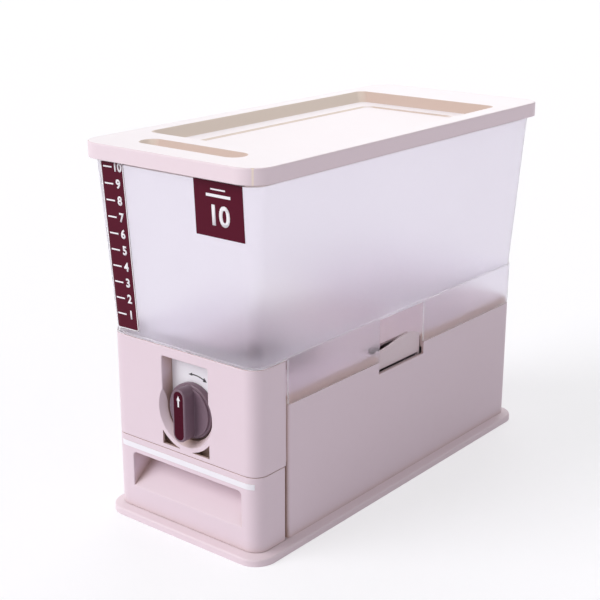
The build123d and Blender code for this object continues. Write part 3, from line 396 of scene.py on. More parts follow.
# The lid is the body's cream drawn lighter, as painted light for its brighter rim and top.
lid_lit_cream = plastic(
    "lid_polypropylene", (0.81, 0.68, 0.73), (0.78, 0.64, 0.68), (0.86, 0.78, 0.82),
    painted_light=lid_tones, **outer_shell,
)
base_cream = plastic(
    "base_polypropylene", (0.78, 0.65, 0.705), (0.755, 0.61, 0.66), (0.84, 0.75, 0.79),
    **{**outer_shell, "edge_share": 0.5},
)
cream_inside = plastic(
    "cream_inner_moulding", (0.75, 0.63, 0.67), (0.70, 0.57, 0.60), (0.80, 0.71, 0.74),
    roughness=0.5, grain_depth=0.5, bump=0.3, edge_radius=0.0004, edge_share=0.3,
    Specular_IOR_Level=0.3,
)
mauve = plastic(
    "mauve_knob_plastic", (0.19, 0.122, 0.160), (0.155, 0.098, 0.130), (0.34, 0.25, 0.31),
    roughness=0.34, grain_depth=0.4, bump=0.2, edge_radius=0.0005, edge_share=0.7,
    Specular_IOR_Level=0.35,
)
maroon = plastic(
    "maroon_inlay_plastic", (0.062, 0.003, 0.014), (0.05, 0.002, 0.011), (0.13, 0.02, 0.04),
    roughness=0.3, grain_depth=0.1, bump=0.1, edge_radius=0.0003, edge_share=0.6,
    Specular_IOR_Level=0.05,
)
maroon_film = plastic(
    "maroon_printed_film", (0.088, 0.004, 0.018), (0.078, 0.003, 0.015), (0.13, 0.02, 0.04),
    roughness=0.45, grain_depth=0.15, bump=0.12, edge_radius=0.0001, edge_share=0.5,
    Specular_IOR_Level=0.1,
)
white_film = plastic(
    "white_printed_film", (0.86, 0.84, 0.89), (0.82, 0.79, 0.84), (0.88, 0.87, 0.9),
    roughness=0.38, grain_depth=0.2, bump=0.1, edge_radius=0.0001, edge_share=0.4,
)
white_ink = plastic(
    "white_printing_ink", (0.88, 0.86, 0.89), (0.83, 0.80, 0.84), (0.9, 0.89, 0.91),
    roughness=0.45, grain_depth=0.4, bump=0.1, edge_radius=0.00005, edge_share=0.2,
)
dark_ink = plastic(
    "dark_printing_ink", (0.018, 0.012, 0.020), (0.03, 0.022, 0.032), (0.05, 0.04, 0.05),
    roughness=0.45, grain_depth=0.4, bump=0.1, edge_radius=0.00005, edge_share=0.2,
)
acetal = plastic(
    "white_acetal", (0.84, 0.84, 0.82), (0.78, 0.78, 0.75), (0.88, 0.88, 0.86),
    roughness=0.35, grain_depth=0.2, bump=0.15, edge_radius=0.0003, edge_share=0.3,
)
print("opaque finishes:", len(bpy.data.materials))

# %% [markdown]
# ## The frosted bin
# The bin is unpigmented polypropylene with a matt outer skin. Light goes through it, but is scattered, so
# things close behind the wall show as soft shapes and things further back melt into a lilac haze. Rough
# transmission does exactly that. A part of the light never gets through and is scattered back, which is
# the share that Transmission Weight leaves to the base colour.

# %% Frosted polypropylene
def build_frosted():
    made, tree = new_material("frosted_polypropylene")
    skin = place_group(
        tree,
        moulded_skin,
        {"Roughness": 0.42, "Grain Depth": 0.5, "Wave Scale": 14.0, "Roughness Change": 0.12},
    )
    edges = place_group(tree, soft_edges, {"Radius": 0.0006})
    # The bin's edges are drawn paler: partly wear, partly a painted highlight.
    worn_and_lit_edge = maths(tree, "MULTIPLY", edges.outputs["Edge"], 0.5)
    tint = place_group(
        tree,
        colour_drift,
        {
            "Colour": (0.955, 0.935, 0.98, 1.0),
            "Deeper": (0.94, 0.91, 0.965, 1.0),
            "Edge Colour": (0.99, 0.98, 1.0, 1.0),
            "Edge": worn_and_lit_edge,
            "Smudge": 0.1,
        },
    )
    normal = relief(tree, skin.outputs["Height"], edges.outputs["Normal"], 0.2, 0.0002)
    surface = put(
        tree,
        "ShaderNodeBsdfPrincipled",
        {
            "Base Color": tint.outputs["Colour"],
            "Roughness": skin.outputs["Roughness"],
            "Normal": normal,
            "Transmission Weight": 0.95,
            "IOR": 1.18,
        },
    )
    end_material(tree, surface)
    return made


frosted = build_frosted()
print("finish", frosted.name, "has", len(frosted.node_tree.nodes), "nodes")

# %% [markdown]
# ## Steel
# Screws and the clip are zinc plated, with a cloudy dull lustre. The shaft is turned, so its brightness
# runs in fine rings round its axis, and the spring's wire is drawn and slightly darker.

# %% A function for steels
def steel(name, colour, roughness, ring_depth):
    """Plated or drawn steel; ring_depth sets how clear the turning marks round the Y axis are."""
    made, tree = new_material(name)
    skin = place_group(
        tree, moulded_skin, {"Roughness": roughness, "Grain Depth": 0.6, "Roughness Change": 0.25}
    )
    edges = place_group(tree, soft_edges, {"Radius": 0.0002})
    place = put(tree, "ShaderNodeTexCoord").outputs["Object"]
    rings = put(
        tree,
        "ShaderNodeTexWave",
        {"Vector": place, "Scale": 900.0, "Distortion": 1.5, "Detail": 2.0},
        bands_direction="Y",
    )
    turned = maths(tree, "MULTIPLY", rings.outputs["Fac"], ring_depth)
    height = maths(tree, "ADD", turned, skin.outputs["Height"])
    # Edges are drawn paler: partly worn plating, partly a painted highlight.
    tint = place_group(
        tree,
        colour_drift,
        {
            "Colour": (*colour, 1.0),
            "Deeper": (*[0.8 * share for share in colour], 1.0),
            "Edge Colour": (*[min(1.0, 1.25 * share) for share in colour], 1.0),
            "Edge": edges.outputs["Edge"],
            "Drift Scale": 120.0,
        },
    )
    normal = relief(tree, height, edges.outputs["Normal"], 0.2, 0.0001)
    surface = put(
        tree,
        "ShaderNodeBsdfPrincipled",
        {
            "Base Color": tint.outputs["Colour"],
            "Roughness": skin.outputs["Roughness"],
            "Normal": normal,
            "Metallic": 1.0,
        },
    )
    end_material(tree, surface)
    return made


zinc = steel("zinc_plated_steel", (0.60, 0.61, 0.63), roughness=0.38, ring_depth=0.0)
turned_steel = steel("turned_steel", (0.56, 0.56, 0.57), roughness=0.28, ring_depth=0.8)
spring_wire = steel("drawn_spring_wire", (0.42, 0.42, 0.43), roughness=0.3, ring_depth=0.0)
print("steels:", zinc.name, turned_steel.name, spring_wire.name)

# %% [markdown]
# ## Dress the frame
# Each node of the frame keeps its exact mesh and only gets its finish. A table from finish to nodes shows
# at a glance what the object is made of, and a check makes sure that no node was forgotten.

# %% Give every node its finish
finishes = {
    cream: ["base_casing", "front_panel", "drawer_front"],
    base_cream: ["base_tray"],
    lid_lit_cream: ["lid"],
    cream_inside: [
        "grip_plate_left", "grip_plate_right", "inner_deck", "drawer_tray", "rotor_housing", "rotor_cap",
    ],
    mauve: ["knob", "spring_collar", "rotor"],
    maroon: ["knob_inlay"],
    maroon_film: ["scale_strip", "square_label"],
    white_film: ["dial_card", "drawer_strip"],
    frosted: ["hopper"],
    acetal: ["front_bush", "rear_bush"],
    turned_steel: ["drive_shaft"],
    spring_wire: ["return_spring"],
    zinc: [
        "shaft_clip", "knob_screw", "base_screws", "panel_screws", "cap_screws", "housing_screws",
        "drawer_screws",
    ],
}


def dress(names, finish):
    """Gives nodes one finish in all their material slots."""
    for name in names:
        mesh = parts[name].data
        mesh.materials.clear()
        mesh.materials.append(finish)
        for face in mesh.polygons:
            face.material_index = 0


for finish, names in finishes.items():
    dress(names, finish)
undressed = set(parts) - {name for names in finishes.values() for name in names}
assert not undressed, undressed
print("dressed nodes:", len(parts))

# %% [markdown]
# ## From a node tree to a plain mesh
# Geometry Nodes are handy for making, but the finished object has to be ordinary meshes. So a piece gets
# its tree as a modifier, the inputs are set by the identifiers of their sockets, and the evaluated result
# becomes the piece's own mesh. After that the modifier goes.

# %% Helpers for pieces
def new_piece(name, mesh=None):
    """Puts a mesh object at the origin; its place is in its vertices."""
    piece = bpy.data.objects.new(name, mesh or bpy.data.meshes.new(name))
    bpy.context.scene.collection.objects.link(piece)
    return piece


def run_tree(piece, tree, **values):
    """Adds a Geometry Nodes modifier; keywords are the tree's input names, with _ for a space."""
    step = piece.modifiers.new(tree.name, "NODES")
    step.node_group = tree
    for item in tree.interface.items_tree:
        key = item.name.replace(" ", "_")
        if item.in_out == "INPUT" and key in values:
            step[item.identifier] = values[key]


def keep_result(piece):
    """Makes the evaluated shape the piece's own mesh and drops its modifiers."""
    bpy.context.view_layer.update()
    seen = piece.evaluated_get(bpy.context.evaluated_depsgraph_get())
    mesh = bpy.data.meshes.new_from_object(seen)
    piece.modifiers.clear()
    piece.data = mesh
    print(piece.name, "has", len(mesh.polygons), "faces")
    return piece


def finish_tree(tree, geometry, material, result):
    """Ends a tree with Realize Instances and Set Material."""
    real = put(tree, "GeometryNodeRealizeInstances", {"Geometry": geometry})
    made = put(tree, "GeometryNodeSetMaterial", {"Geometry": real.outputs[0], "Material": material})
    tree.links.new(made.outputs[0], result["Geometry"])


print("piece helpers ready")

# %% [markdown]
# ## Printing on a curved wall
# The scale runs round the bin's corner, so its ink has to follow the film. The print is drawn flat in front
# of the object, and a tree throws each of its points straight back until it hits the film; a point that
# misses is dropped. A little thickness then makes the ink a closed skin, and the points are close enough
# together for the bend.

# %% Tree: wrap a flat print on a surface
def build_wrap_print():
    tree, given, result = new_group(
        "GeometryNodeTree",
        "wrap_print",
        [
            ("Geometry", "Geometry", None),
            ("Surface", "Object", None),
            ("Lift", "Float", 0.02 * MM),
            ("Thickness", "Float", 0.05 * MM),
            ("Ink", "Material", None),
        ],
        [("Geometry", "Geometry")],
    )
    surface = put(tree, "GeometryNodeObjectInfo", {"Object": given["Surface"]}, transform_space="RELATIVE")
    throw = put(
        tree,
        "GeometryNodeRaycast",
        {"Target Geometry": surface.outputs["Geometry"], "Ray Direction": (0.0, 1.0, 0.0), "Ray Length": 1.0},
    )
    off = {0: throw.outputs["Hit Normal"], "Scale": given["Lift"]}
    lift = put(tree, "ShaderNodeVectorMath", off, operation="SCALE")
    caught = put(
        tree,
        "GeometryNodeSeparateGeometry",
        {"Geometry": given["Geometry"], "Selection": throw.outputs["Is Hit"]},
    )
    landed = put(
        tree,
        "GeometryNodeSetPosition",
        {"Geometry": caught.outputs[0], "Position": throw.outputs["Hit Position"], "Offset": lift.outputs[0]},
    )
    raised = put(
        tree,
        "GeometryNodeExtrudeMesh",
        {"Mesh": landed.outputs[0], "Offset Scale": given["Thickness"], "Individual": False},
    )
    back = put(tree, "GeometryNodeFlipFaces", {"Mesh": landed.outputs[0]})
    both = put(tree, "GeometryNodeJoinGeometry")
    tree.links.new(raised.outputs["Mesh"], both.inputs[0])
    tree.links.new(back.outputs[0], both.inputs[0])
    closed = put(tree, "GeometryNodeMergeByDistance", {"Geometry": both.outputs[0], "Distance": 0.002 * MM})
    finish_tree(tree, closed.outputs[0], given["Ink"], result)
    return tree


wrap_print = build_wrap_print()
print("tree", wrap_print.name, "has", len(wrap_print.nodes), "nodes")

# %% [markdown]
# The flat prints are made of three kinds of shape: bars, figures and free outlines. All are drawn in across
# and up, as on paper, and then stand upright in front of the object. A long bar is cut into short steps, so
# that it can bend round the corner.

# %% Helpers for flat prints
sheet_y = cad_low.y - 20 * MM
step = 1.5 * MM


def cut_grid(width, height):
    """A flat bar about its own middle, cut into short steps."""
    mesh = bpy.data.meshes.new("bar")
    sheet = bmesh.new()
    across = max(1, round(width / step))
    up = max(1, round(height / (8 * step)))
    rows = [
        [sheet.verts.new((width * (i / across - 0.5), height * (j / up - 0.5), 0)) for i in range(across + 1)]
        for j in range(up + 1)
    ]
    for low, high in zip(rows, rows[1:]):
        for i in range(across):
            sheet.faces.new((low[i], low[i + 1], high[i + 1], high[i]))
    sheet.to_mesh(mesh)
    sheet.free()
    return mesh


def outline_face(points):
    """A flat shape from its outline."""
    mesh = bpy.data.meshes.new("outline")
    sheet = bmesh.new()
    face = sheet.faces.new([sheet.verts.new((x, y, 0)) for x, y in points])
    bmesh.ops.triangulate(sheet, faces=[face])
    sheet.to_mesh(mesh)
    sheet.free()
    return mesh


def figures(text, height, bold):
    """Plain figures about their own middle, thickened by the bold width."""
    curve = bpy.data.curves.new("figures", "FONT")
    curve.body = text
    curve.size = height / 0.72
    curve.offset = bold
    curve.align_x = "CENTER"
    curve.align_y = "CENTER"
    curve.resolution_u = 4
    writer = new_piece("figures_" + text, curve)
    bpy.context.view_layer.update()
    mesh = bpy.data.meshes.new_from_object(writer.evaluated_get(bpy.context.evaluated_depsgraph_get()))
    bpy.data.objects.remove(writer)
    return mesh


def flat_print(name, shapes, centre, tilt=0.0):
    """Joins (mesh, across, up) shapes round a centre (x, z), tilted, and stands them upright."""
    sheet = bmesh.new()
    upright = Matrix.Translation((centre[0], sheet_y, centre[1])) @ Matrix.Rotation(math.pi / 2, 4, "X")
    turned = upright @ Matrix.Rotation(tilt, 4, "Z")
    for mesh, across, up in shapes:
        mesh.transform(turned @ Matrix.Translation((across, up, 0)))
        sheet.from_mesh(mesh)
    bmesh.ops.recalc_face_normals(sheet, faces=sheet.faces)
    for face in sheet.faces:
        if face.normal.y > 0:
            face.normal_flip()
    piece = new_piece(name)
    sheet.to_mesh(piece.data)
    sheet.free()
    return piece


def print_on(piece, node, ink, body):
    """Wraps a flat print on a node, and lets it ride with the node's body."""
    run_tree(piece, wrap_print, Surface=parts[node], Ink=ink)
    keep_result(piece)
    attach(piece, body)


print("flat prints start at y =", round(sheet_y / MM, 1), "mm")

# %% [markdown]
# ## The scale on the bin
# Ten evenly spaced ticks show how full the bin is. They are one bar, repeated by a tree along a line: the
# count and the step are inputs.

# %% Tree: a ladder of ticks
def build_tick_ladder():
    tree, given, result = new_group(
        "GeometryNodeTree",
        "tick_ladder",
        [
            ("Geometry", "Geometry", None),
            ("Count", "Int", 10),
            ("Step", "Float", 15.4 * MM),
            ("Ink", "Material", None),
        ],
        [("Geometry", "Geometry")],
    )
    up = put(tree, "ShaderNodeCombineXYZ", {"Y": given["Step"]})
    ladder = put(tree, "GeometryNodeMeshLine", {"Count": given["Count"], "Offset": up.outputs[0]})
    ticks = put(
        tree, "GeometryNodeInstanceOnPoints", {"Points": ladder.outputs[0], "Instance": given["Geometry"]}
    )
    finish_tree(tree, ticks.outputs[0], given["Ink"], result)
    return tree


tick_ladder = build_tick_ladder()
print("tree", tick_ladder.name, "has", len(tick_ladder.nodes), "nodes")

# %% [markdown]
# Each tick has its plain number beside it, and a thin white line follows the film's edge. A film is printed
# in one go, so ticks, numbers and line are joined in one flat sheet before it is pressed on the strip.

# %% Print the scale
scale_low, scale_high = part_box("scale_strip")
scale_centre = ((scale_low.x + scale_high.x) / 2, (scale_low.z + scale_high.z) / 2)
scale_width, scale_height = 29.3 * MM, 161.5 * MM
scale_tilt = math.radians(1.3)
scale_step = 15.6 * MM
first_mark = -scale_height / 2 + 15.2 * MM
tick_length, tick_width = 11.0 * MM, 1.4 * MM
tick_across = -5.6 * MM
figure_across = 6.3 * MM
figure_height = 8.2 * MM
marks = 10


def rounded_ring(width, height, corner, line):
    """A flat line that follows a rounded rectangle, about its own middle."""
    mesh = bpy.data.meshes.new("ring")
    sheet = bmesh.new()
    loops = []
    for inset in (0.0, line):
        points = []
        for turn, (side_x, side_y) in enumerate(((1, -1), (1, 1), (-1, 1), (-1, -1))):
            middle = Vector((side_x * (width / 2 - corner), side_y * (height / 2 - corner)))
            for i in range(7):
                angle = math.pi / 2 * (turn - 1 + i / 6)
                reach = corner - inset
                points.append(middle + reach * Vector((math.cos(angle), math.sin(angle))))
        loops.append(points)
    cut = [[], []]
    for i, spot in enumerate(loops[0]):
        following = (i + 1) % len(loops[0])
        pieces = max(1, round((loops[0][following] - spot).length / step))
        for j in range(pieces):
            for loop, points in zip(loops, cut):
                points.append(loop[i].lerp(loop[following], j / pieces))
    outer, inner = [[sheet.verts.new((spot.x, spot.y, 0)) for spot in points] for points in cut]
    for i in range(len(outer)):
        following = (i + 1) % len(outer)
        sheet.faces.new((outer[i], outer[following], inner[following], inner[i]))
    sheet.to_mesh(mesh)
    sheet.free()
    return mesh


ladder = new_piece("ladder", cut_grid(tick_length, tick_width))
run_tree(ladder, tick_ladder, Count=marks, Step=scale_step, Ink=white_ink)
keep_result(ladder)
shapes = [(ladder.data, tick_across, first_mark)]
bpy.data.objects.remove(ladder)
for mark in range(marks):
    up = first_mark + mark * scale_step
    text = str(mark + 1)
    shapes.append((figures(text, figure_height, 0.42 * MM), figure_across + 0.7 * MM * (len(text) - 1), up))
shapes.append((rounded_ring(scale_width - 0.4 * MM, scale_height - 0.8 * MM, 2.3 * MM, 1.0 * MM), 0, 0))
scale_print = flat_print("scale_print", shapes, scale_centre, scale_tilt)
print_on(scale_print, "scale_strip", white_ink, "bin")

# %% [markdown]
# ## The square label
# The label only has to say how much the bin holds. It gets one large plain number, and two blank bars where
# a kitchen label would have its words.

# %% Print the square label
label_low, label_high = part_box("square_label")
label_centre = ((label_low.x + label_high.x) / 2, (label_low.z + label_high.z) / 2)
label_width, label_height = label_high.x - label_low.x, label_high.z - label_low.z
label_shapes = [
    (figures("10", 0.36 * label_height, 0.75 * MM), 0, -0.12 * label_height),
    (cut_grid(0.5 * label_width, 2.6 * MM), 0, 0.25 * label_height),
    (cut_grid(0.3 * label_width, 1.4 * MM), 0, 0.36 * label_height),
]
label_print = flat_print("label_print", label_shapes, label_centre)
print_on(label_print, "square_label", white_ink, "bin")

# %% [markdown]
# ## Arrows
# The knob's arrow shows where it points, and the curved arrow on the card shows which way it turns. Both are
# one outline each: a shaft, and a head that is wider than the shaft.

# %% Print the arrows
knob_low, knob_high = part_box("knob")
dial_x = (knob_low.x + knob_high.x) / 2
dial_z = (knob_low.z + knob_high.z) / 2


def straight_arrow(length, shaft, head_length, head_width):
    """Outline of an arrow that points up, about its own middle."""
    neck = length / 2 - head_length
    return [
        (-shaft / 2, -length / 2), (shaft / 2, -length / 2), (shaft / 2, neck), (head_width / 2, neck),
        (0, length / 2), (-head_width / 2, neck), (-shaft / 2, neck),
    ]


def curved_arrow(radius, start, end, shaft, head_width, head_angle, steps=8):
    """Outline of an arrow along an arc with a head at both ends, clockwise, in degrees."""
    def spot(distance, angle):
        turn = math.radians(angle)
        return (distance * math.cos(turn), distance * math.sin(turn))

    angles = [start + (end - start) * i / steps for i in range(steps + 1)]
    outer = [spot(radius + shaft / 2, angle) for angle in angles]
    inner = [spot(radius - shaft / 2, angle) for angle in reversed(angles)]
    head = [
        spot(radius + head_width / 2, end),
        spot(radius, end - head_angle),
        spot(radius - head_width / 2, end),
    ]
    tail = [
        spot(radius - head_width / 3, start), spot(radius, start + head_angle),
        spot(radius + head_width / 3, start),
    ]
    return outer + head + inner + tail


arrow_length = 11.0 * MM
arrow_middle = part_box("knob_inlay")[1].z - 4.0 * MM - arrow_length / 2
knob_arrow = flat_print(
    "knob_arrow",
    [(outline_face(straight_arrow(arrow_length, 1.7 * MM, 4.6 * MM, 4.6 * MM)), 0, 0)],
    (dial_x, arrow_middle),
)
print_on(knob_arrow, "knob_inlay", white_ink, "knob_set")
card_arrow = flat_print(
    "card_arrow",
    [(outline_face(curved_arrow(34 * MM, 94, 70, 1.2 * MM, 4.6 * MM, 8)), 0, 0)],
    (dial_x, dial_z),
)
print_on(card_arrow, "dial_card", dark_ink, "housing")

# %% [markdown]
# ## Screws
# The construction model has each screw's seat and size, but its thread and drive are only hinted at. A
# screw is a turned part, so one profile is spun into a body whose radius follows the thread's helix, and a
# cross is cut into its head. One tree then puts that screw on every seat of a group.

# %% Model one self-tapping screw
head_radius, head_height = 3.2 * MM, 1.8 * MM
shank_radius, shank_length = 1.6 * MM, 12.0 * MM
thread_pitch, thread_depth = 1.2 * MM, 0.35 * MM
around = 20


def spin_profile(name, profile, radius_at):
    """Spins (radius, height) points round Z; radius_at may change a ring's radius with the angle."""
    sheet = bmesh.new()
    rings = []
    for radius, height in profile:
        if radius == 0:
            rings.append([sheet.verts.new((0, 0, height))])
            continue
        ring = []
        for i in range(around):
            angle = 2 * math.pi * i / around
            reach = radius_at(radius, height, angle)
            ring.append(sheet.verts.new((reach * math.cos(angle), reach * math.sin(angle), height)))
        rings.append(ring)
    for low, high in zip(rings, rings[1:]):
        for i in range(around):
            following = (i + 1) % around
            corners = [low[i % len(low)], low[following % len(low)]]
            corners += [high[following % len(high)], high[i % len(high)]]
            unique = list(dict.fromkeys(corners))
            sheet.faces.new(unique)
    bmesh.ops.recalc_face_normals(sheet, faces=sheet.faces)
    mesh = bpy.data.meshes.new(name)
    sheet.to_mesh(mesh)
    sheet.free()
    return mesh


def thread_radius(radius, height, angle):
    """Deepens the shank between the turns of the thread."""
    if height > -1.0 * MM or height < tip_height:
        return radius
    turn = (height / thread_pitch - angle / (2 * math.pi)) % 1.0
    return radius - thread_depth * abs(2 * turn - 1)


rings_per_turn = 6
thread_rings = round(rings_per_turn * (shank_length - 2.5 * MM) / thread_pitch)
screw_profile = [(0, -shank_length), (0.7 * MM, -shank_length + 0.4 * MM)]
tip_height = -shank_length + 1.5 * MM
screw_profile += [
    (shank_radius, tip_height + i * thread_pitch / rings_per_turn) for i in range(thread_rings + 1)
]
screw_profile += [(shank_radius, 0), (head_radius, 0), (head_radius, 0.5 * MM)]
screw_profile += [
    (head_radius * math.cos(bend), 0.5 * MM + (head_height - 0.5 * MM) * math.sin(bend))
    for bend in (0.35, 0.7, 1.05, 1.35)
]
screw_profile.append((0, head_height))
screw = new_piece("screw", spin_profile("screw", screw_profile, thread_radius))

cross = bmesh.new()
for turn in (0, math.pi / 2):
    wedge = bmesh.ops.create_cube(cross, size=1.0)["verts"]
    arm_length, arm_width, arm_depth = 1.25 * head_radius, 0.28 * head_radius, 1.2 * MM
    bmesh.ops.scale(cross, vec=(arm_length, arm_width, 2 * arm_depth), verts=wedge)
    bmesh.ops.rotate(cross, matrix=Matrix.Rotation(turn, 3, "Z"), verts=wedge)
    bmesh.ops.translate(cross, vec=(0, 0, head_height), verts=wedge)
cutter = new_piece("cutter")
cross.to_mesh(cutter.data)
cross.free()
cut = screw.modifiers.new("cross", "BOOLEAN")
cut.operation = "DIFFERENCE"
cut.solver = "EXACT"
cut.use_self = True
cut.object = cutter
keep_result(screw)
bpy.data.objects.remove(cutter)

# %% [markdown]
# The tree turns every screw a little, since no assembler stops all of them at the same angle. The seed is
# fixed, so they always stop at the same ones.

# %% Tree: a screw on every seat
def build_screw_rows():
    tree, given, result = new_group(
        "GeometryNodeTree",
        "screw_rows",
        [
            ("Geometry", "Geometry", None),
            ("Screw", "Object", None),
            ("Facing", "Vector", None),
            ("Seed", "Int", 3),
            ("Steel", "Material", None),
        ],
        [("Geometry", "Geometry")],
    )
    one = put(tree, "GeometryNodeObjectInfo", {"Object": given["Screw"]}, transform_space="ORIGINAL")
    seated = put(
        tree,
        "GeometryNodeInstanceOnPoints",
        {"Points": given["Geometry"], "Instance": one.outputs["Geometry"], "Rotation": given["Facing"]},
    )
    turn = put(tree, "FunctionNodeRandomValue", {"Seed": given["Seed"]}, data_type="FLOAT")
    turn.inputs[3].default_value = math.pi / 2
    about = put(tree, "ShaderNodeCombineXYZ", {"Z": turn.outputs[1]})
    spun = put(
        tree, "GeometryNodeRotateInstances", {"Instances": seated.outputs[0], "Rotation": about.outputs[0]}
    )
    finish_tree(tree, spun.outputs[0], given["Steel"], result)
    return tree


screw_rows = build_screw_rows()
print("tree", screw_rows.name, "has", len(screw_rows.nodes), "nodes")

# %% [markdown]
# Each group of screws has its box in the frame, and its seats are the corners of that box, moved in by the
# head's radius; the base has a third pair half-way. A group's letter is the way its heads face.

# %% Seat the screws
facings = {
    "+Z": (0.0, 0.0, 0.0),
    "-Z": (math.pi, 0.0, 0.0),
    "+Y": (-math.pi / 2, 0.0, 0.0),
    "-Y": (math.pi / 2, 0.0, 0.0),
}
screw_groups = {
    "base_screws": ("-Z", "housing"),
    "panel_screws": ("+Y", "housing"),
    "cap_screws": ("+Y", "housing"),
    "housing_screws": ("+Z", "housing"),
    "drawer_screws": ("+Y", "drawer"),
    "knob_screw": ("-Y", "knob_set"),
}


def seats_of(node, facing):
    """Seats of a group of equal screws, from the corners of its box."""
    low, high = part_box(node)
    axis = "XYZ".index(facing[1])
    seat = high[axis] - head_height if facing[0] == "+" else low[axis] + head_height
    spans = []
    for other in range(3):
        if other == axis:
            spans.append([seat])
        else:
            spans.append(sorted({round(low[other] + head_radius, 6), round(high[other] - head_radius, 6)}))
    if node == "base_screws":
        spans[1].append(0.0)
    return [(x, y, z) for x in spans[0] for y in spans[1] for z in spans[2]]


for node, (facing, body) in screw_groups.items():
    seats = bpy.data.meshes.new(node)
    seats.from_pydata(seats_of(node, facing), [], [])
    group = new_piece(node.replace("screw", "threaded_screw"), seats)
    run_tree(group, screw_rows, Screw=screw, Facing=facings[facing], Steel=zinc)
    keep_result(group)
    for face in group.data.polygons:
        face.use_smooth = False
    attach(group, body)
    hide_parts(node)
bpy.data.objects.remove(screw)

# %% [markdown]
# ## The return spring
# The spring is one wire that follows a rule: straight, then six turns round the shaft, then straight again.
# A tree lays points along that rule. Each point's distance along the wire is clamped to the coil, and what
# is left over runs on along the coil's tangent, which gives the two legs.

# %% Tree: a wire wound into a coil
def build_wire_coil():
    tree, given, result = new_group(
        "GeometryNodeTree",
        "wire_coil",
        [
            ("Geometry", "Geometry", None),
            ("Centre", "Vector", None),
            ("Radius", "Float", 8.4 * MM),
            ("Wire", "Float", 0.6 * MM),
            ("Turns", "Float", 6.0),
            ("Pitch", "Float", 2.4 * MM),
            ("Leg", "Float", 7.0 * MM),
            ("Points", "Int", 320),
            ("Steel", "Material", None),
        ],
        [("Geometry", "Geometry")],
    )

    length = maths(tree, "MULTIPLY", maths(tree, "MULTIPLY", given["Turns"], given["Radius"]), 2 * math.pi)
    whole = maths(tree, "ADD", length, maths(tree, "MULTIPLY", given["Leg"], 2.0))
    index = put(tree, "GeometryNodeInputIndex").outputs[0]
    share = maths(tree, "DIVIDE", index, maths(tree, "SUBTRACT", given["Points"], 1.0))
    along = maths(tree, "SUBTRACT", maths(tree, "MULTIPLY", share, whole), given["Leg"])
    inside = maths(tree, "MINIMUM", maths(tree, "MAXIMUM", along, 0.0), length)
    spare = maths(tree, "SUBTRACT", along, inside)
    angle = maths(tree, "DIVIDE", inside, given["Radius"])
    cosine, sine = maths(tree, "COSINE", angle, 0.0), maths(tree, "SINE", angle, 0.0)
    climb = maths(tree, "DIVIDE", given["Pitch"], maths(tree, "MULTIPLY", given["Radius"], 2 * math.pi))
    coil_x, coil_z = [maths(tree, "MULTIPLY", part, given["Radius"]) for part in (cosine, sine)]
    leg_x, leg_z = [maths(tree, "MULTIPLY", part, spare) for part in (sine, cosine)]
    x = maths(tree, "SUBTRACT", coil_x, leg_x)
    y = maths(tree, "MULTIPLY", maths(tree, "MULTIPLY", along, climb), -1.0)
    z = maths(tree, "ADD", coil_z, leg_z)
    place = put(tree, "ShaderNodeCombineXYZ", {"X": x, "Y": y, "Z": z})
    moved = put(
        tree, "ShaderNodeVectorMath", {0: place.outputs[0], 1: given["Centre"]}, operation="ADD"
    )
    line = put(tree, "GeometryNodeMeshLine", {"Count": given["Points"]})
    bent = put(tree, "GeometryNodeSetPosition", {"Geometry": line.outputs[0], "Position": moved.outputs[0]})
    path = put(tree, "GeometryNodeMeshToCurve", {"Mesh": bent.outputs[0]})
    section = put(tree, "GeometryNodeCurvePrimitiveCircle", {"Radius": given["Wire"], "Resolution": 12})
    wire = put(
        tree,
        "GeometryNodeCurveToMesh",
        {"Curve": path.outputs[0], "Profile Curve": section.outputs[0], "Fill Caps": True},
    )
    smooth = put(tree, "GeometryNodeSetShadeSmooth", {"Geometry": wire.outputs[0]})
    finish_tree(tree, smooth.outputs[0], given["Steel"], result)
    return tree


spring_low, spring_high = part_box("return_spring")
wire_radius = 0.6 * MM
coil_rear = spring_high.y - 0.32 * MM - wire_radius
coil = new_piece("wound_spring")
run_tree(coil, build_wire_coil(), Centre=(dial_x, coil_rear, dial_z), Wire=wire_radius, Steel=spring_wire)
keep_result(coil)
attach(coil, "housing")
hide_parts("return_spring")
coil_points = [vertex.co for vertex in coil.data.vertices]
print("coil in y:", [round(f(p.y for p in coil_points) / MM, 2) for f in (min, max)])
print("node in y:", [round(edge.y / MM, 2) for edge in (spring_low, spring_high)])

# %% [markdown]
# ## The small studio
# The floor is a white sheet. Seen directly it is lifted half-way to pure white, which keeps a soft shadow
# round the base without a grey table. The world is white to the eye and behind clear plastic, and a calm
# grey as a light, so that pale plastic doesn't burn out.

# %% Floor and world
def white_where_seen(tree):
    """One where a camera, glossy or transmission ray arrives, and zero for other light."""
    path = put(tree, "ShaderNodeLightPath").outputs
    first = maths(tree, "MAXIMUM", path["Is Camera Ray"], path["Is Glossy Ray"])
    return maths(tree, "MAXIMUM", first, path["Is Transmission Ray"])


paper, sheet = new_material("white_paper")
lift = 0.5
look = put(sheet, "ShaderNodeBsdfPrincipled", {"Base Color": (0.84, 0.82, 0.88, 1), "Roughness": 0.9})
glow = put(sheet, "ShaderNodeEmission", {"Color": (1.0, 1.0, 1.0, 1.0), "Strength": 1.2})
share = maths(sheet, "MULTIPLY", white_where_seen(sheet), lift)
both = {"Fac": share, 1: look.outputs[0], 2: glow.outputs[0]}
end_material(sheet, put(sheet, "ShaderNodeMixShader", both))

floor_half = 40.0
floor_mesh = bpy.data.meshes.new("floor")
floor_corners = [(x * floor_half, y * floor_half, 0.0) for x, y in ((-1, -1), (1, -1), (1, 1), (-1, 1))]
floor_mesh.from_pydata(floor_corners, [], [(0, 1, 2, 3)])
floor_mesh.materials.append(paper)
floor = new_piece("floor", floor_mesh)

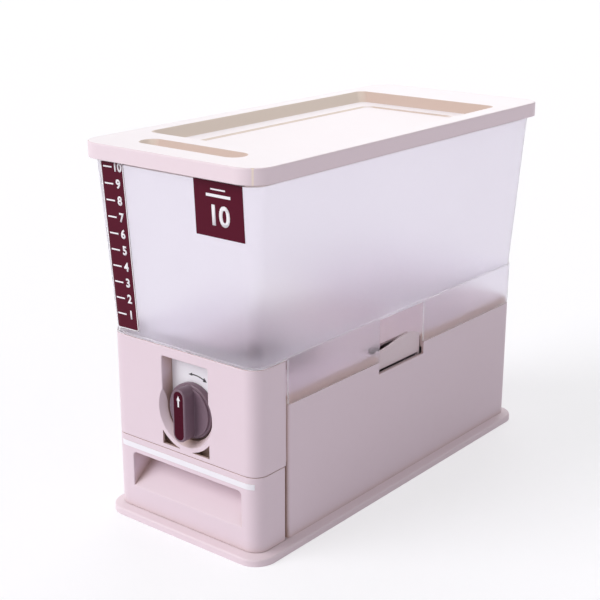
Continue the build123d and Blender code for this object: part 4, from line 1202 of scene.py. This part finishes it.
light_level = 0.46
world = bpy.data.worlds.new("studio")
bpy.context.scene.world = world
world.use_nodes = True
world.node_tree.nodes.clear()
strength = put(
    world.node_tree,
    "ShaderNodeMapRange",
    {"Value": white_where_seen(world.node_tree), "To Min": light_level, "To Max": 1.0},
)
sky = put(
    world.node_tree,
    "ShaderNodeBackground",
    {"Color": (1.0, 1.0, 1.0, 1.0), "Strength": strength.outputs["Result"]},
)
put(world.node_tree, "ShaderNodeOutputWorld", {"Surface": sky.outputs[0]})
print("floor and world ready; light from the world:", light_level)

# %% [markdown]
# One broad soft light stands front left, above the object. It brightens the front and the lid, and leaves
# the long right side in even shade. A weaker one from behind keeps the far end of the bin from going dull,
# and a faint one lifts the right side. They are suns with a wide angle, so the floor is lit evenly up to
# the horizon and only the object's own shadow shows on it.

# %% Lights
def soft_light(name, direction, spread, strength):
    """A sun that shines from a direction, softened over an angle in degrees."""
    data = bpy.data.lights.new(name, "SUN")
    data.angle = math.radians(spread)
    data.energy = strength
    lamp = bpy.data.objects.new(name, data)
    away = Vector(direction).normalized()
    lamp.location = 2.0 * away
    lamp.rotation_euler = away.to_track_quat("Z", "Y").to_euler()
    bpy.context.scene.collection.objects.link(lamp)


soft_light("key", (-0.42, -0.66, 0.52), spread=40, strength=1.95)
soft_light("back", (-0.5, 0.8, 0.6), spread=40, strength=0.55)
soft_light("fill", (0.8, 0.1, 0.5), spread=60, strength=0.12)

# %% [markdown]
# ## The camera
# The camera stands front right and a little above the lid, fairly close, so the far end of the bin looks
# clearly smaller. Its direction is given as an angle round the object and one above the horizon.

# %% Camera
camera_place = Vector((756.8, -989.9, 576.9)) * MM
azimuth, elevation, roll = math.radians(38.8), math.radians(17.7), math.radians(0.1)
camera_data = bpy.data.cameras.new("photo_camera")
camera_data.sensor_width = 36.0
camera_data.lens = 75.63
camera = bpy.data.objects.new("photo_camera", camera_data)
back = Vector(
    (math.sin(azimuth) * math.cos(elevation), -math.cos(azimuth) * math.cos(elevation), math.sin(elevation))
)
camera.location = camera_place
turn = back.to_track_quat("Z", "Y").to_matrix().to_4x4() @ Matrix.Rotation(roll, 4, "Z")
camera.rotation_euler = turn.to_euler()
bpy.context.scene.collection.objects.link(camera)
bpy.context.scene.camera = camera
bpy.context.scene.view_settings.view_transform = "Standard"
print("camera", [round(v / MM) for v in camera.location], "mm, lens", camera_data.lens)
